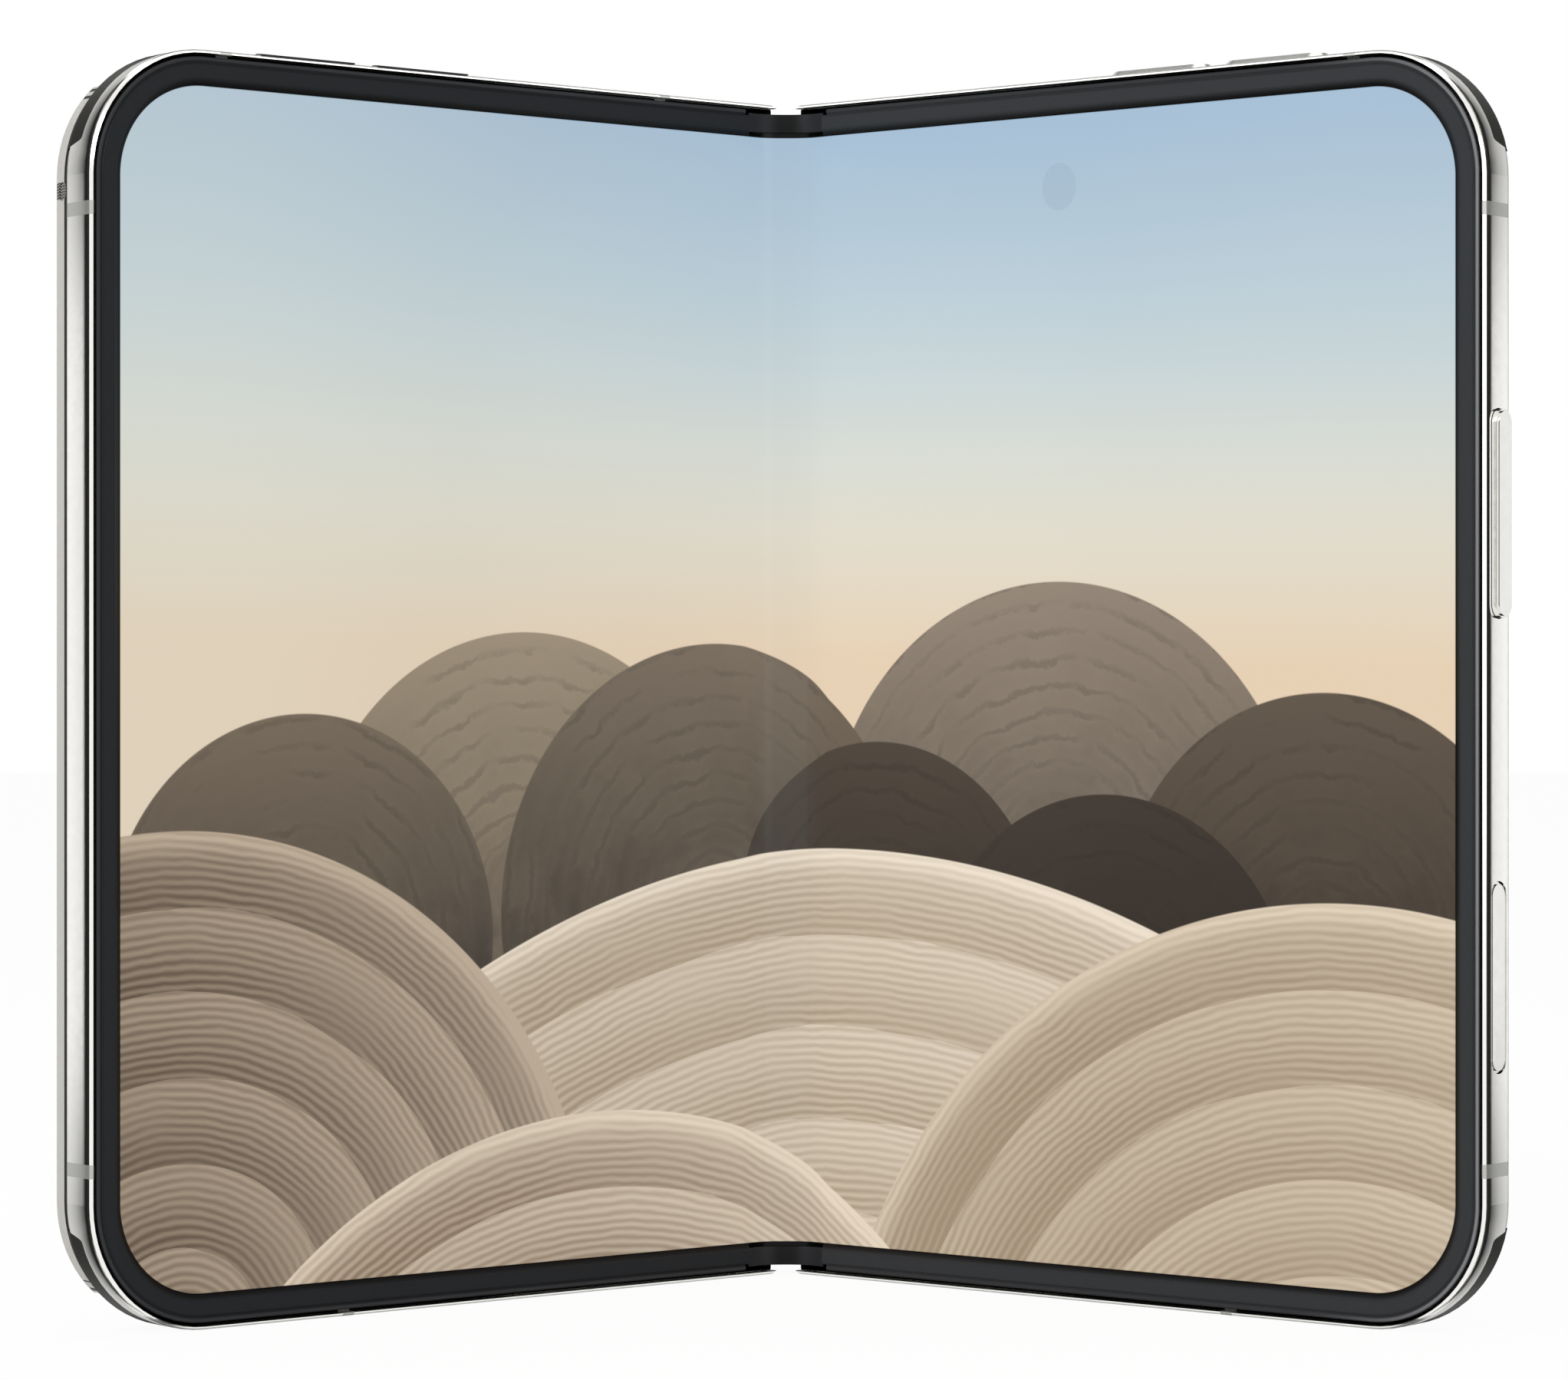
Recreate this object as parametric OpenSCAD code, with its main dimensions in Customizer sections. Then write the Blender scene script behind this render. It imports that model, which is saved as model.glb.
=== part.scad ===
// Folding phone that opens like a book, standing half open on its lower edges.
// Each half is modelled lying flat: x runs outwards from the fold line, y runs along it,
// z = 0 is the front of the raised bezel and the depth of the phone lies below it.
// stand_right() and stand_left() then fold each half up and stand it on its edge.

/* [Body] */
// Height of the phone, along the fold
body_h = 120.6; // [112:0.1:135]
// Width of one half, from the fold line to its outer edge
half_w = 83.8; // [78:0.1:95]
// Thickness of one half
body_t = 4.8; // [4.7:0.05:6]
// Radius of the outer corners, seen from the front
corner_r = 12.4; // [10.5:0.1:16]
// Angle that each half is folded up from flat
fold = 38.5; // [25:0.5:60]

/* [Frame] */
// Thickness of the frame's wall
frame_wall = 2.2; // [1.8:0.1:2.6]
// Width of the thin lip that shows in front
frame_lip = 0.36; // [0.3:0.02:0.5]
// Chamfer on the front edge
front_chamfer = 0.3; // [0.1:0.05:0.3]
// Radius on the rear edge
rear_round = 0.4; // [0.1:0.05:0.45]
// Where the frame ends, measured from the fold line
frame_end = 2.5; // [2.2:0.1:2.6]
// Radius of the frame's ends beside the fold
frame_end_r = 0.6; // [0.3:0.1:1.2]
// Width of an antenna band
antenna_w = 1.3; // [0.8:0.1:2]
// Depth of an antenna band into the wall
antenna_d = 0.8; // [0.4:0.1:1.2]
// Antenna bands on the outer side, from each end
antenna_side = 15.6; // [14.9:0.1:19]
// Outer antenna band on the top edge, from the side
antenna_top = 14.8; // [14.5:0.1:19]
// Inner antenna band on the top edge of the left half, from the fold line
antenna_inner = 16.9; // [12:0.1:24]
// Antenna band on the bottom edge, from the fold line
antenna_bottom = 55.2; // [52:0.1:62]

/* [Bezel and display] */
// Groove between the frame's lip and the bezel
bezel_gap = 0.3; // [0.1:0.05:0.4]
// Width of the bezel
bezel_w = 2.65; // [2.4:0.05:3.5]
// Where the bezels start, from the fold line
bezel_from = 5.95; // [5.9:0.05:7.5]
// Width of the raised ridge round the bezel
ridge_w = 0.48; // [0.3:0.02:0.7]
// Width of the sloped inner edge of the bezel
slope_w = 0.65; // [0.3:0.05:0.9]
// Depth of the display's surface below the bezel
display_depth = 0.4; // [0.35:0.05:0.5]
// Thickness of the display panel and its backing plate
display_t = 0.55; // [0.45:0.05:0.6]
// Thickness of the display where it bends
flex_t = 0.4; // [0.25:0.05:0.45]
// Where the rigid part of the display starts, from the fold line
rigid_from = 7; // [6.6:0.1:8]
// Diameter of the camera under the display
under_camera_d = 4.9; // [3:0.1:6]
// That camera's place from the fold line
under_camera_x = 35.4; // [20:0.1:60]
// That camera's place below the top edge
under_camera_y = 10.5; // [8.5:0.1:14]

/* [Hinge] */
// Module of the hinge gears
gear_module = 0.18; // [0.17:0.005:0.185]
// Share of each tooth that is left out as play
gear_play = 0.1; // [0.06:0.01:0.2]
// Width of the gears
gear_w = 2.8; // [2:0.1:3]
// Half the gap between the closed halves
closed_gap = 0.15; // [0.1:0.01:0.2]
// Radius of the spine's rounded sides
spine_r = 1.6; // [1.5:0.01:1.62]
// Wall of the spine cover
spine_wall = 0.3; // [0.2:0.02:0.34]
// Gap between the spine and what turns round it
turning_gap = 0.1; // [0.06:0.01:0.12]
// Radius of the hinge shafts
shaft_r = 0.4; // [0.3:0.02:0.42]
// Running clearance of a shaft in its bore
shaft_gap = 0.03; // [0.02:0.005:0.05]
// Radius of the barrel on a hinge arm
barrel_r = 1.14; // [1:0.02:1.16]
// Thickness of the plate of a hinge arm
arm_t = 0.6; // [0.4:0.05:0.7]
// Reach of a hinge arm, from the fold line
arm_reach = 12; // [10.5:0.1:12.5]
// Start of each hinge unit, from its end of the phone
hinge_inset = 14; // [8:0.5:24]
// Number of dished washers on each shaft
washers = 5; // [3:1:6]

/* [Rear] */
// Thickness of the rear covers
cover_t = 0.5; // [0.4:0.05:0.55]
// Width of the dark trim round the rear covers
trim_w = 0.8; // [0.5:0.05:1]
// How far the trim stands behind the frame
trim_proud = 0.2; // [0.1:0.05:0.3]
// Height of the dark pads on the outer corners
pad_h = 2.4; // [1.5:0.1:2.6]
// Angle that a corner pad spans
pad_angle = 67.5; // [40:0.5:75]
// Length of the smooth step at the ends of a corner pad
pad_step = 1.1; // [0.8:0.1:2]
// Width of the camera deck
deck_w = 25; // [22.5:0.5:30]
// Height of the camera deck behind the rear cover
deck_h = 2.2; // [1.4:0.1:2.4]
// Distance of the deck from the frame's outside
deck_inset = 0.4; // [0.4:0.05:1]
// Distance of the deck's ends from the top and bottom of the frame
deck_end = 3.55; // [1:0.05:6]
// Rounded edge of the deck
deck_round = 0.3; // [0.2:0.05:0.7]
// Radius of the inner corners of the deck
deck_corner_r = 5; // [3:0.5:8]
// Diameter of the camera ring
lens_d = 18.6; // [15:0.1:19.4]
// Height of the camera ring on the deck
lens_h = 2; // [1:0.1:2.4]
// Centre of the camera ring above the bottom edge
lens_y = 76.7; // [72:0.1:82]

/* [Buttons] */
// Length of the power button
power_len = 19.5; // [14:0.1:24]
// Centre of the power button above the bottom edge
power_y = 76.7; // [70:0.1:84]
// How far the power button stands out
power_proud = 0.72; // [0.4:0.02:1]
// Length of the camera control
control_len = 17.8; // [12:0.1:20]
// Centre of the camera control above the bottom edge
control_y = 33.5; // [30:0.1:40]
// Length of a volume button
volume_len = 11.2; // [8:0.1:12.4]
// Inner volume button's centre, from the fold line
volume_x = 46.3; // [40:0.1:48]
// Distance between the two volume buttons
volume_pitch = 13.3; // [13:0.1:14]
// How far the volume buttons stand out
volume_proud = 0.5; // [0.3:0.02:0.7]
// Width of all the buttons, through the thickness of the phone
button_w = 2.7; // [2:0.1:2.8]
// Gap round a button
button_gap = 0.08; // [0.05:0.01:0.12]
// Travel of a button
button_travel = 0.25; // [0.15:0.01:0.3]

/* [Openings] */
// Centre of the charging port, from the fold line
port_x = 40; // [38:0.1:44]
// Width of the charging port's opening
port_w = 8.4; // [8.2:0.05:8.6]
// Height of the charging port's opening
port_h = 2.56; // [2.5:0.02:2.6]
// Diameter of a sound hole
sound_d = 1.1; // [0.6:0.05:1.4]
// Distance between sound holes
sound_pitch = 2.2; // [1.8:0.1:2.4]

/* [Inside] */
// Thickness of the midplate
midplate_t = 0.5; // [0.4:0.05:0.5]
// Width of the left battery
left_battery_w = 40; // [30:0.5:41]
// Width of the right battery
right_battery_w = 38; // [30:0.5:41]
// Thickness of the circuit boards
board_t = 0.6; // [0.4:0.05:0.8]
// Thickness of the cover display panel
cover_panel_t = 0.7; // [0.5:0.05:0.7]
// Radius of the small screws
screw_r = 0.5; // [0.4:0.05:0.6]

/* [Hidden] */

$fn = 96;
tiny = 0.01;

// Hinge: four equal gears in line, the outer two on the axes of the halves
gear_teeth = 10;
pitch_r = gear_teeth * gear_module / 2;
tip_r = pitch_r + 0.85 * gear_module;
root_r = pitch_r - 1.1 * gear_module;
pressure_angle = 25;
base_r = pitch_r * cos(pressure_angle);
flank_radii = [root_r, (root_r + base_r) / 2 + 0.02, pitch_r, (pitch_r + tip_r) / 2, tip_r];
half_tooth = 180 / gear_teeth;
idler_x = pitch_r;
axis_x = 3 * pitch_r;
axis_depth = axis_x - closed_gap;
spine_inner_r = spine_r - spine_wall;
knuckle_r = spine_r + turning_gap;
knuckle_w = axis_x + knuckle_r + 0.8;
spine_end = frame_wall + turning_gap;

// Depths below the front of the bezel
seat_depth = display_depth + display_t;
midplate_z = -seat_depth - midplate_t;
cover_z = -(body_t - cover_t);
frame_rear = body_t - trim_proud;
button_z = -(body_t / 2 + 0.1);
button_gap_in = 0.05;
button_room_d = 4 * (button_travel + button_gap_in) + 0.4;
port_len = 6.5;

// Distances inwards from the frame's outside
bezel_out = frame_lip + bezel_gap;
bezel_in = bezel_out + bezel_w;
bezel_notch = 0.6;
cap_reach = bezel_from - 0.15;
trim_out = rear_round + 0.1;
trim_in = trim_out + trim_w;
pad_d = trim_out + 0.4;
pad_reach = corner_r * (1 - sin((90 - pad_angle) / 2));
fit = 0.05;

// Places inside the halves, from the fold line and from the bottom
battery_x = arm_reach + 1;
room = midplate_z - cover_z - 0.1;
right_room = room - cover_panel_t - 0.1;
board_x = battery_x + left_battery_w + 2;
cable_y = 38;
cable_w = 9;
speaker_x = port_x + port_w / 2 + 4.4;
microphone_x = port_x - port_w / 2 - 4.4;
cover_camera_x = 44;
cover_camera_y = 10;
magnet_w = 1;
magnet_t = 1.3;

// Deck on the rear of the left half
deck_from = half_w - deck_inset - deck_w;
deck_z = -body_t - deck_h;
lens_x = half_w - deck_inset - 1.2 - lens_d / 2;
ring_inner_r = lens_d / 2 - 1.7;
barrel_top_r = ring_inner_r - 0.6;
camera_half = ring_inner_r + 0.4;
flash_y = 98.4;
flash_r = 2.6;
deck_microphone_y = 106.9;

// Strips in the top edge and caps over the hinge
strip_w = 0.9;
strip_d = 0.35;
strip_proud = 0.18;
cap_out = bezel_out + 0.35;
cap_in = bezel_in - 0.7;

// The bend of the display: an arc that both flat stretches run into
leg_x = axis_x - (axis_depth - display_depth) * sin(fold);
leg_depth = axis_depth - (axis_depth - display_depth) * cos(fold);
apex_depth = leg_depth + leg_x * tan(fold);
bend_steps = 12;
bend_r = (apex_depth - display_depth) / (1 / cos(fold) - 1);

// The front and rear of the standing phone, to centre it over the origin
front_y = axis_depth - (half_w - axis_x) * sin(fold) - axis_depth * cos(fold);
rear_y = axis_depth + spine_r;
shift_y = -(front_y + rear_y) / 2;

// Layout of one hinge unit, along the fold
wall_len = 2;
gear_y = wall_len + 0.2;
gear_side_gap = 0.15;
arm_flare = 2.2;
arm_y = gear_y + gear_w;
arm_len = 4.9;
idler_wall_y = arm_y + 0.3;
idler_wall_len = 1.7;
outer_wall_y = arm_y + arm_len + 0.1;
washer_y = outer_wall_y + wall_len + 0.05;
washer_t = 0.28;
washer_dish = 0.6 * washer_t;
washer_pitch = washer_t + washer_dish + 0.02;
washer_end = washer_y + washers * washer_pitch;
nut_len = 0.8;
boss_r = 0.75;
boss_h = 0.8;
head_h = 0.3;
unit_len = washer_end + nut_len;

// ---- Placing ----

module stand_right() {
    translate([axis_x, axis_depth + shift_y, 0])
        rotate([0, 0, -fold])
            translate([-axis_x, -axis_depth, 0])
                rotate([90, 0, 0])
                    children();
}

module stand_left() {
    mirror([1, 0, 0])
        stand_right()
            children();
}

module stand_spine() {
    translate([0, shift_y, 0])
        rotate([90, 0, 0])
            children();
}

// Repeats a hinge unit at both ends of the phone
module both_units() {
    translate([0, hinge_inset, 0])
        children();
    translate([0, body_h - hinge_inset, 0])
        mirror([0, 1, 0])
            children();
}

// ---- Shapes ----

module rounded_rect(w, h, r) {
    translate([r, 0])
        square([w - 2 * r, h]);
    translate([0, r])
        square([w, h - 2 * r]);
    for (x = [r, w - r], y = [r, h - r])
        translate([x, y])
            circle(r = r);
}

// A flat box with rounded corners, from its lowest corner
module rounded_box(x, y, z, w, h, t, r = 0.8) {
    translate([x, y, z])
        linear_extrude(height = t)
            rounded_rect(w, h, r);
}

// A pill lying along x, centred
module pill(len, w) {
    square([len - w, w], center = true);
    for (s = [-1, 1])
        translate([s * (len - w) / 2, 0])
            circle(r = w / 2);
}

function reversed(list) = [for (i = [len(list) - 1 : -1 : 0]) list[i]];

// A cylinder along the fold
module rod(x, z, y, len, r) {
    translate([x, y, z])
        rotate([-90, 0, 0])
            cylinder(h = len, r = r);
}

// Runs a section, drawn in x and z, along the fold
module run_y(y, len) {
    translate([0, y + len, 0])
        rotate([90, 0, 0])
            linear_extrude(height = len)
                children();
}

// Outline of a half, moved inwards, with its two outer corners rounded
module half_plan(inset, from_x) {
    r = corner_r - inset;
    translate([from_x, inset])
        square([half_w - inset - r - from_x, body_h - 2 * inset]);
    translate([half_w - inset - r - tiny, corner_r])
        square([r + tiny, body_h - 2 * corner_r]);
    for (y = [corner_r, body_h - corner_r])
        translate([half_w - corner_r, y])
            circle(r = r);
}

module half_plate(inset, from_x, z, t) {
    translate([0, 0, z])
        linear_extrude(height = t)
            half_plan(inset, from_x);
}

// Turns a section into the shape of one outer corner; the section's x is the distance
// inwards from the frame's outside
module corner_turn(top) {
    translate([half_w - corner_r, top ? body_h - corner_r : corner_r, 0])
        rotate([0, 0, top ? 0 : -90])
            rotate_extrude(angle = 90)
                translate([corner_r, 0])
                    mirror([1, 0])
                        children();
}

// Runs a section along the straight bottom, outer side and top of a half
module band_straights(from_x) {
    run = half_w - corner_r - from_x;
    translate([from_x, 0, 0])
        rotate([90, 0, 90])
            linear_extrude(height = run)
                children();
    translate([from_x, body_h, 0])
        mirror([0, 1, 0])
            rotate([90, 0, 90])
                linear_extrude(height = run)
                    children();
    translate([half_w, body_h - corner_r, 0])
        mirror([1, 0, 0])
            rotate([90, 0, 0])
                linear_extrude(height = body_h - 2 * corner_r)
                    children();
}

// The same, round both outer corners as well
module band_sweep(from_x) {
    band_straights(from_x)
        children();
    for (top = [false, true])
        corner_turn(top)
            children();
}

// ---- Frames ----

// Points round the rear edge of a section whose rear is at z = -depth
function rear_edge(depth) =
    [for (a = [270 : -15 : 180])
        [rear_round * (1 + cos(a)), -depth + rear_round * (1 + sin(a))]];

module band_section() {
    polygon(concat(
        [[0, -front_chamfer], [front_chamfer, 0], [frame_lip, 0], [frame_lip, -seat_depth],
            [frame_wall, -seat_depth], [frame_wall, cover_z], [trim_out, cover_z],
            [trim_out, -frame_rear]],
        rear_edge(frame_rear)));
}

// The wall that closes a half beside the spine, hollowed to turn round it
module knuckle_section() {
    difference() {
        translate([frame_end, -body_t])
            square([knuckle_w - frame_end, body_t - axis_depth]);
        translate([axis_x, -axis_depth])
            circle(r = knuckle_r);
    }
}

// Repeats a piece of the bottom edge on the top edge
module both_edges() {
    children();
    translate([0, body_h, 0])
        mirror([0, 1, 0])
            children();
}

// A pad seen from the side: x runs from the corner of the phone, y up from the rear, and the
// height falls to the rear edge in a smooth step
module pad_side() {
    steps = 8;
    polygon(concat(
        [[pad_reach, -1], [-1, -1], [-1, pad_h]],
        [for (i = [0 : steps])
            [pad_reach - pad_step * (1 - i / steps),
                trim_proud + (pad_h - trim_proud) * (1 + cos(180 * i / steps)) / 2]]));
}

// Gives a section turned round both outer corners the side view of a pad on either edge
module corner_pads() {
    both_edges()
        intersection() {
            corner_turn(false)
                children();
            translate([half_w - corner_r, 0, -body_t])
                rotate([90, 0, 90])
                    linear_extrude(height = corner_r + 1)
                        pad_side();
            translate([half_w, corner_r, -body_t])
                rotate([90, 0, 0])
                    linear_extrude(height = corner_r + 1)
                        mirror([1, 0])
                            pad_side();
        }
}

// What is cut away to round the ends of a frame beside the fold
module end_rounding() {
    both_edges()
        translate([frame_end - 1, -1, -body_t - 1])
            linear_extrude(height = body_t + 2)
                difference() {
                    square(frame_end_r + 1);
                    translate([frame_end_r + 1, frame_end_r + 1])
                        circle(r = frame_end_r);
                }
}

// Slabs where the antenna bands cross the frame
module antenna_slabs(inner_band) {
    for (y = [antenna_side, body_h - antenna_side])
        translate([half_w - antenna_d, y - antenna_w / 2, -body_t])
            cube([antenna_d + 1, antenna_w, body_t + 1]);
    translate([antenna_bottom - antenna_w / 2, -1, -body_t])
        cube([antenna_w, antenna_d + 1, body_t + 1]);
    outer = half_w - antenna_top;
    for (x = inner_band ? [outer, antenna_inner] : [outer])
        translate([x - antenna_w / 2, body_h - antenna_d, -body_t])
            cube([antenna_w, antenna_d + 1, body_t + 1]);
}

// A row of sound holes in the bottom edge
module sound_holes(from_x, count) {
    for (i = [0 : count - 1])
        rod(from_x + i * sound_pitch, button_z, -1, frame_wall + 2, sound_d / 2);
}

module frame_body(inner_band) {
    difference() {
        union() {
            band_sweep(frame_end)
                band_section();
            run_y(frame_wall - tiny, body_h - 2 * frame_wall + 2 * tiny)
                knuckle_section();
        }
        antenna_slabs(inner_band);
        end_rounding();
        corner_pads()
            translate([-1, -body_t - 1])
                square([pad_d + 1, pad_h + 1]);
    }
}

module antenna_bands(inner_band) {
    intersection() {
        band_sweep(frame_end)
            band_section();
        antenna_slabs(inner_band);
    }
}

module pill_hole_side(y, len) {
    translate([half_w + 1, y, button_z])
        rotate([0, -90, 0])
            linear_extrude(height = frame_wall + 2)
                rotate([0, 0, 90])
                    pill(len + 2 * button_gap, button_w + 2 * button_gap);
}

module pill_hole_top(x, len) {
    translate([x, body_h + 1, button_z])
        rotate([90, 0, 0])
            linear_extrude(height = frame_wall + 2)
                pill(len + 2 * button_gap, button_w + 2 * button_gap);
}

module left_frame() {
    color("gainsboro")
        stand_left()
            difference() {
                frame_body(true);
                translate([port_x, -1, button_z])
                    rotate([-90, 0, 0])
                        linear_extrude(height = frame_wall + 2)
                            pill(port_w, port_h);
                sound_holes(speaker_x, 4);
                sound_holes(microphone_x, 1);
                strips(1);
            }
}

module right_frame() {
    color("gainsboro")
        stand_right()
            difference() {
                frame_body(false);
                pill_hole_side(power_y, power_len);
                pill_hole_side(control_y, control_len);
                pill_hole_top(volume_x, volume_len);
                pill_hole_top(volume_x + volume_pitch, volume_len);
                sound_holes(antenna_bottom + 4, 3);
                rod(microphone_x, button_z, -1, frame_wall + 2, sound_d / 2);
            }
}

module left_antenna_bands() {
    color("darkgray")
        stand_left()
            antenna_bands(true);
}

module right_antenna_bands() {
    color("darkgray")
        stand_right()
            antenna_bands(false);
}

// Low dark strips let into the top edge of the left half, proud by the given amount
module strips(proud) {
    for (x = [volume_x, volume_x + volume_pitch])
        translate([x, body_h + proud, -strip_w])
            rotate([90, 0, 0])
                linear_extrude(height = strip_d + proud)
                    pill(volume_len, strip_w);
}

module top_edge_strips() {
    color("dimgray")
        stand_left()
            strips(strip_proud);
}

// ---- Bezels and display ----

module bezel_section() {
    slope_z = -display_depth + fit;
    polygon([[bezel_out, -seat_depth], [bezel_out, -0.12], [bezel_out + 0.12, 0],
        [bezel_out + ridge_w - 0.1, 0], [bezel_out + ridge_w, -0.1],
        [bezel_out + ridge_w + 0.14, -0.1], [bezel_out + ridge_w + 0.2, -0.03],
        [bezel_in - slope_w, -0.03], [bezel_in, slope_z + 0.02], [bezel_in, slope_z],
        [frame_wall, slope_z], [frame_wall, -seat_depth]]);
}

// A bezel, with a small notch in the outer corners of both ends
module bezel() {
    difference() {
        band_sweep(bezel_from)
            bezel_section();
        both_edges()
            translate([bezel_from - 1, 0, -seat_depth - 1])
                cube([1 + bezel_notch, bezel_out + bezel_notch, seat_depth + 2]);
    }
}

module left_bezel() {
    color("#2a2c2e")
        stand_left()
            bezel();
}

module right_bezel() {
    color("#2a2c2e")
        stand_right()
            bezel();
}

module display_panel() {
    half_plate(frame_wall + fit, rigid_from, -seat_depth, display_t);
}

module left_display() {
    color("#9fb6cc")
        stand_left()
            display_panel();
}

module right_display() {
    color("#9fb6cc")
        stand_right()
            difference() {
                display_panel();
                translate([under_camera_x, body_h - under_camera_y, -seat_depth - 1])
                    cylinder(h = 1 + display_t - 0.2, r = under_camera_d / 2);
            }
}

// Points along one side of a flexible layer at the given depth: a leg, an arc over the spine
// and the other leg
function bend_line(depth, reach) =
    let (r = bend_r + depth - display_depth)
    let (leg = reach - axis_x + leg_x / cos(fold) - bend_r * tan(fold))
    let (end = [r * sin(fold) + leg * cos(fold), bend_r - r * cos(fold) + leg * sin(fold)])
    concat(
        [[-end[0], end[1] - display_depth]],
        [for (i = [-bend_steps : bend_steps])
            let (a = fold * i / bend_steps)
            [r * sin(a), bend_r - r * cos(a) - display_depth]],
        [[end[0], end[1] - display_depth]]);

module bend_section(depth, t, reach) {
    polygon(concat(bend_line(depth, reach), reversed(bend_line(depth + t, reach))));
}

module display_fold() {
    color("#8fa6bc")
        stand_spine()
            run_y(frame_wall + fit, body_h - 2 * frame_wall - 2 * fit)
                bend_section(display_depth, flex_t, rigid_from - 0.02);
}

module hinge_end_caps() {
    color("#303234")
        stand_spine()
            for (top = [0, 1])
                translate([0, top * body_h, 0])
                    mirror([0, top, 0]) {
                        run_y(cap_out, frame_wall - cap_out)
                            bend_section(0.05, display_depth + flex_t - 0.05, cap_reach);
                        run_y(frame_wall - tiny, cap_in - frame_wall)
                            bend_section(0.05, display_depth - fit - 0.05, cap_reach);
                    }
}

// ---- Spine ----

// Two circles about the axes, joined across the middle
module lobes(r) {
    for (x = [-axis_x, axis_x])
        translate([x, -axis_depth])
            circle(r = r);
    translate([-axis_x, -axis_depth - r])
        square([2 * axis_x, 2 * r]);
}

// The part of the lobes that stays behind the line through both axes
module spine_shell() {
    lip = 0.25;
    difference() {
        lobes(spine_r);
        lobes(spine_inner_r);
        translate([-axis_x - spine_r - 1, -axis_depth + lip])
            square([2 * axis_x + 2 * spine_r + 2, spine_r + 1]);
    }
}

module spine_end_section() {
    difference() {
        lobes(spine_r);
        translate([-axis_x - spine_r - 1, -seat_depth - 0.5])
            square([2 * axis_x + 2 * spine_r + 2, 2]);
    }
}

module spine_cover() {
    end_t = 1.2;
    color("silver")
        stand_spine() {
            run_y(spine_end, body_h - 2 * spine_end)
                spine_shell();
            for (y = [spine_end, body_h - spine_end - end_t])
                run_y(y, end_t)
                    spine_end_section();
            both_units()
                screw_places()
                    difference() {
                        translate([0, 0, -spine_wall / 2])
                            cylinder(h = boss_h + spine_wall / 2, r = boss_r);
                        translate([0, 0, 0.05])
                            cylinder(h = boss_h + 1, r = screw_r * 0.8);
                    }
        }
}

module bores(xs, r) {
    for (x = xs)
        rod(x, -axis_depth, -1, unit_len + 2, r);
}

// One housing: two full walls, a short middle wall for the idler gears and a bridge
module hinge_housing() {
    bridge_w = 1.2;
    middle_w = 1.38;
    wall_r = spine_inner_r;
    bridge_z = -axis_depth + tip_r + 0.06;
    difference() {
        union() {
            run_y(0, wall_len)
                lobes(wall_r);
            run_y(outer_wall_y, wall_len)
                lobes(wall_r);
            translate([-middle_w, idler_wall_y, -axis_depth - wall_r])
                cube([2 * middle_w, idler_wall_len, 2 * wall_r]);
            translate([-bridge_w, 0, bridge_z])
                cube([2 * bridge_w, outer_wall_y + wall_len, -axis_depth + wall_r - bridge_z]);
        }
        bores([-axis_x, axis_x], shaft_r + shaft_gap);
        translate([0, -unit_len + idler_wall_y + idler_wall_len, 0])
            bores([-idler_x, idler_x], shaft_r + shaft_gap);
        screw_places() {
            translate([0, 0, -1])
                cylinder(h = boss_h + 1 + fit, r = boss_r + fit);
            cylinder(h = 2 * wall_r, r = screw_r * 0.8);
            translate([0, 0, 2 * wall_r - head_h])
                cylinder(h = 1, r = boss_r);
        }
    }
}

// Screws hold the housing's outer wall to bosses on the floor of the spine cover
module screw_places() {
    for (x = [-axis_x, axis_x] / 3)
        translate([x, outer_wall_y + wall_len / 2, -axis_depth - spine_inner_r])
            children();
}

module hinge_housings() {
    color("slategray")
        stand_spine()
            both_units()
                hinge_housing();
}

module spine_screws() {
    top_z = 2 * spine_inner_r;
    color("dimgray")
        stand_spine()
            both_units()
                screw_places() {
                    translate([0, 0, 0.1])
                        cylinder(h = top_z - 0.2, r = screw_r * 0.8);
                    translate([0, 0, top_z - head_h])
                        cylinder(h = head_h, r = boss_r - fit);
                }
}

// Narrow plate that carries the display over the spine, notched round the hinge units
module display_support() {
    plate_w = 1.2;
    plate_z = -axis_depth + spine_inner_r;
    color("lightsteelblue")
        stand_spine()
            difference() {
                run_y(spine_end + 1.4, body_h - 2 * spine_end - 2.8)
                    polygon([[-plate_w, plate_z + 0.2], [plate_w, plate_z + 0.2],
                        [plate_w, plate_z], [-plate_w, plate_z]]);
                for (y = [body_h / 3 : 12 : body_h * 2 / 3])
                    rounded_box(-plate_w / 2, y, plate_z - 1, plate_w, 6, 2, 0.5);
            }
}

// Flat cables that loop from half to half through the spine
module fold_flex_cables() {
    loop_z = -axis_depth - spine_inner_r + 0.35;
    color("darkgoldenrod")
        stand_spine()
            for (y = [cable_y, body_h - cable_y - cable_w])
                run_y(y, cable_w) {
                    translate([-axis_x, loop_z - 0.1])
                        square([2 * axis_x, 0.2]);
                    for (side = [0, 1])
                        mirror([side, 0])
                            translate([axis_x, loop_z - 0.1])
                                rotate(fold)
                                    square([0.9, 0.2]);
                }
}

// ---- Hinge gears ----

// Angle between the involute's start and the point where it reaches radius r
function involute_angle(r) = tan(acos(min(1, base_r / r))) * 180 / PI - acos(min(1, base_r / r));

// Half the angle that a tooth spans at radius r
function tooth_angle(r) =
    90 / gear_teeth * (1 - gear_play)
    + involute_angle(pitch_r) - involute_angle(max(r, base_r));

function flank(centre, side) =
    [for (r = flank_radii)
        let (a = centre + side * tooth_angle(r))
        [r * cos(a), r * sin(a)]];

module gear_outline() {
    polygon([for (i = [0 : gear_teeth - 1])
        for (p = concat(flank(i * 360 / gear_teeth, -1), reversed(flank(i * 360 / gear_teeth, 1))))
            p]);
}

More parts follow.
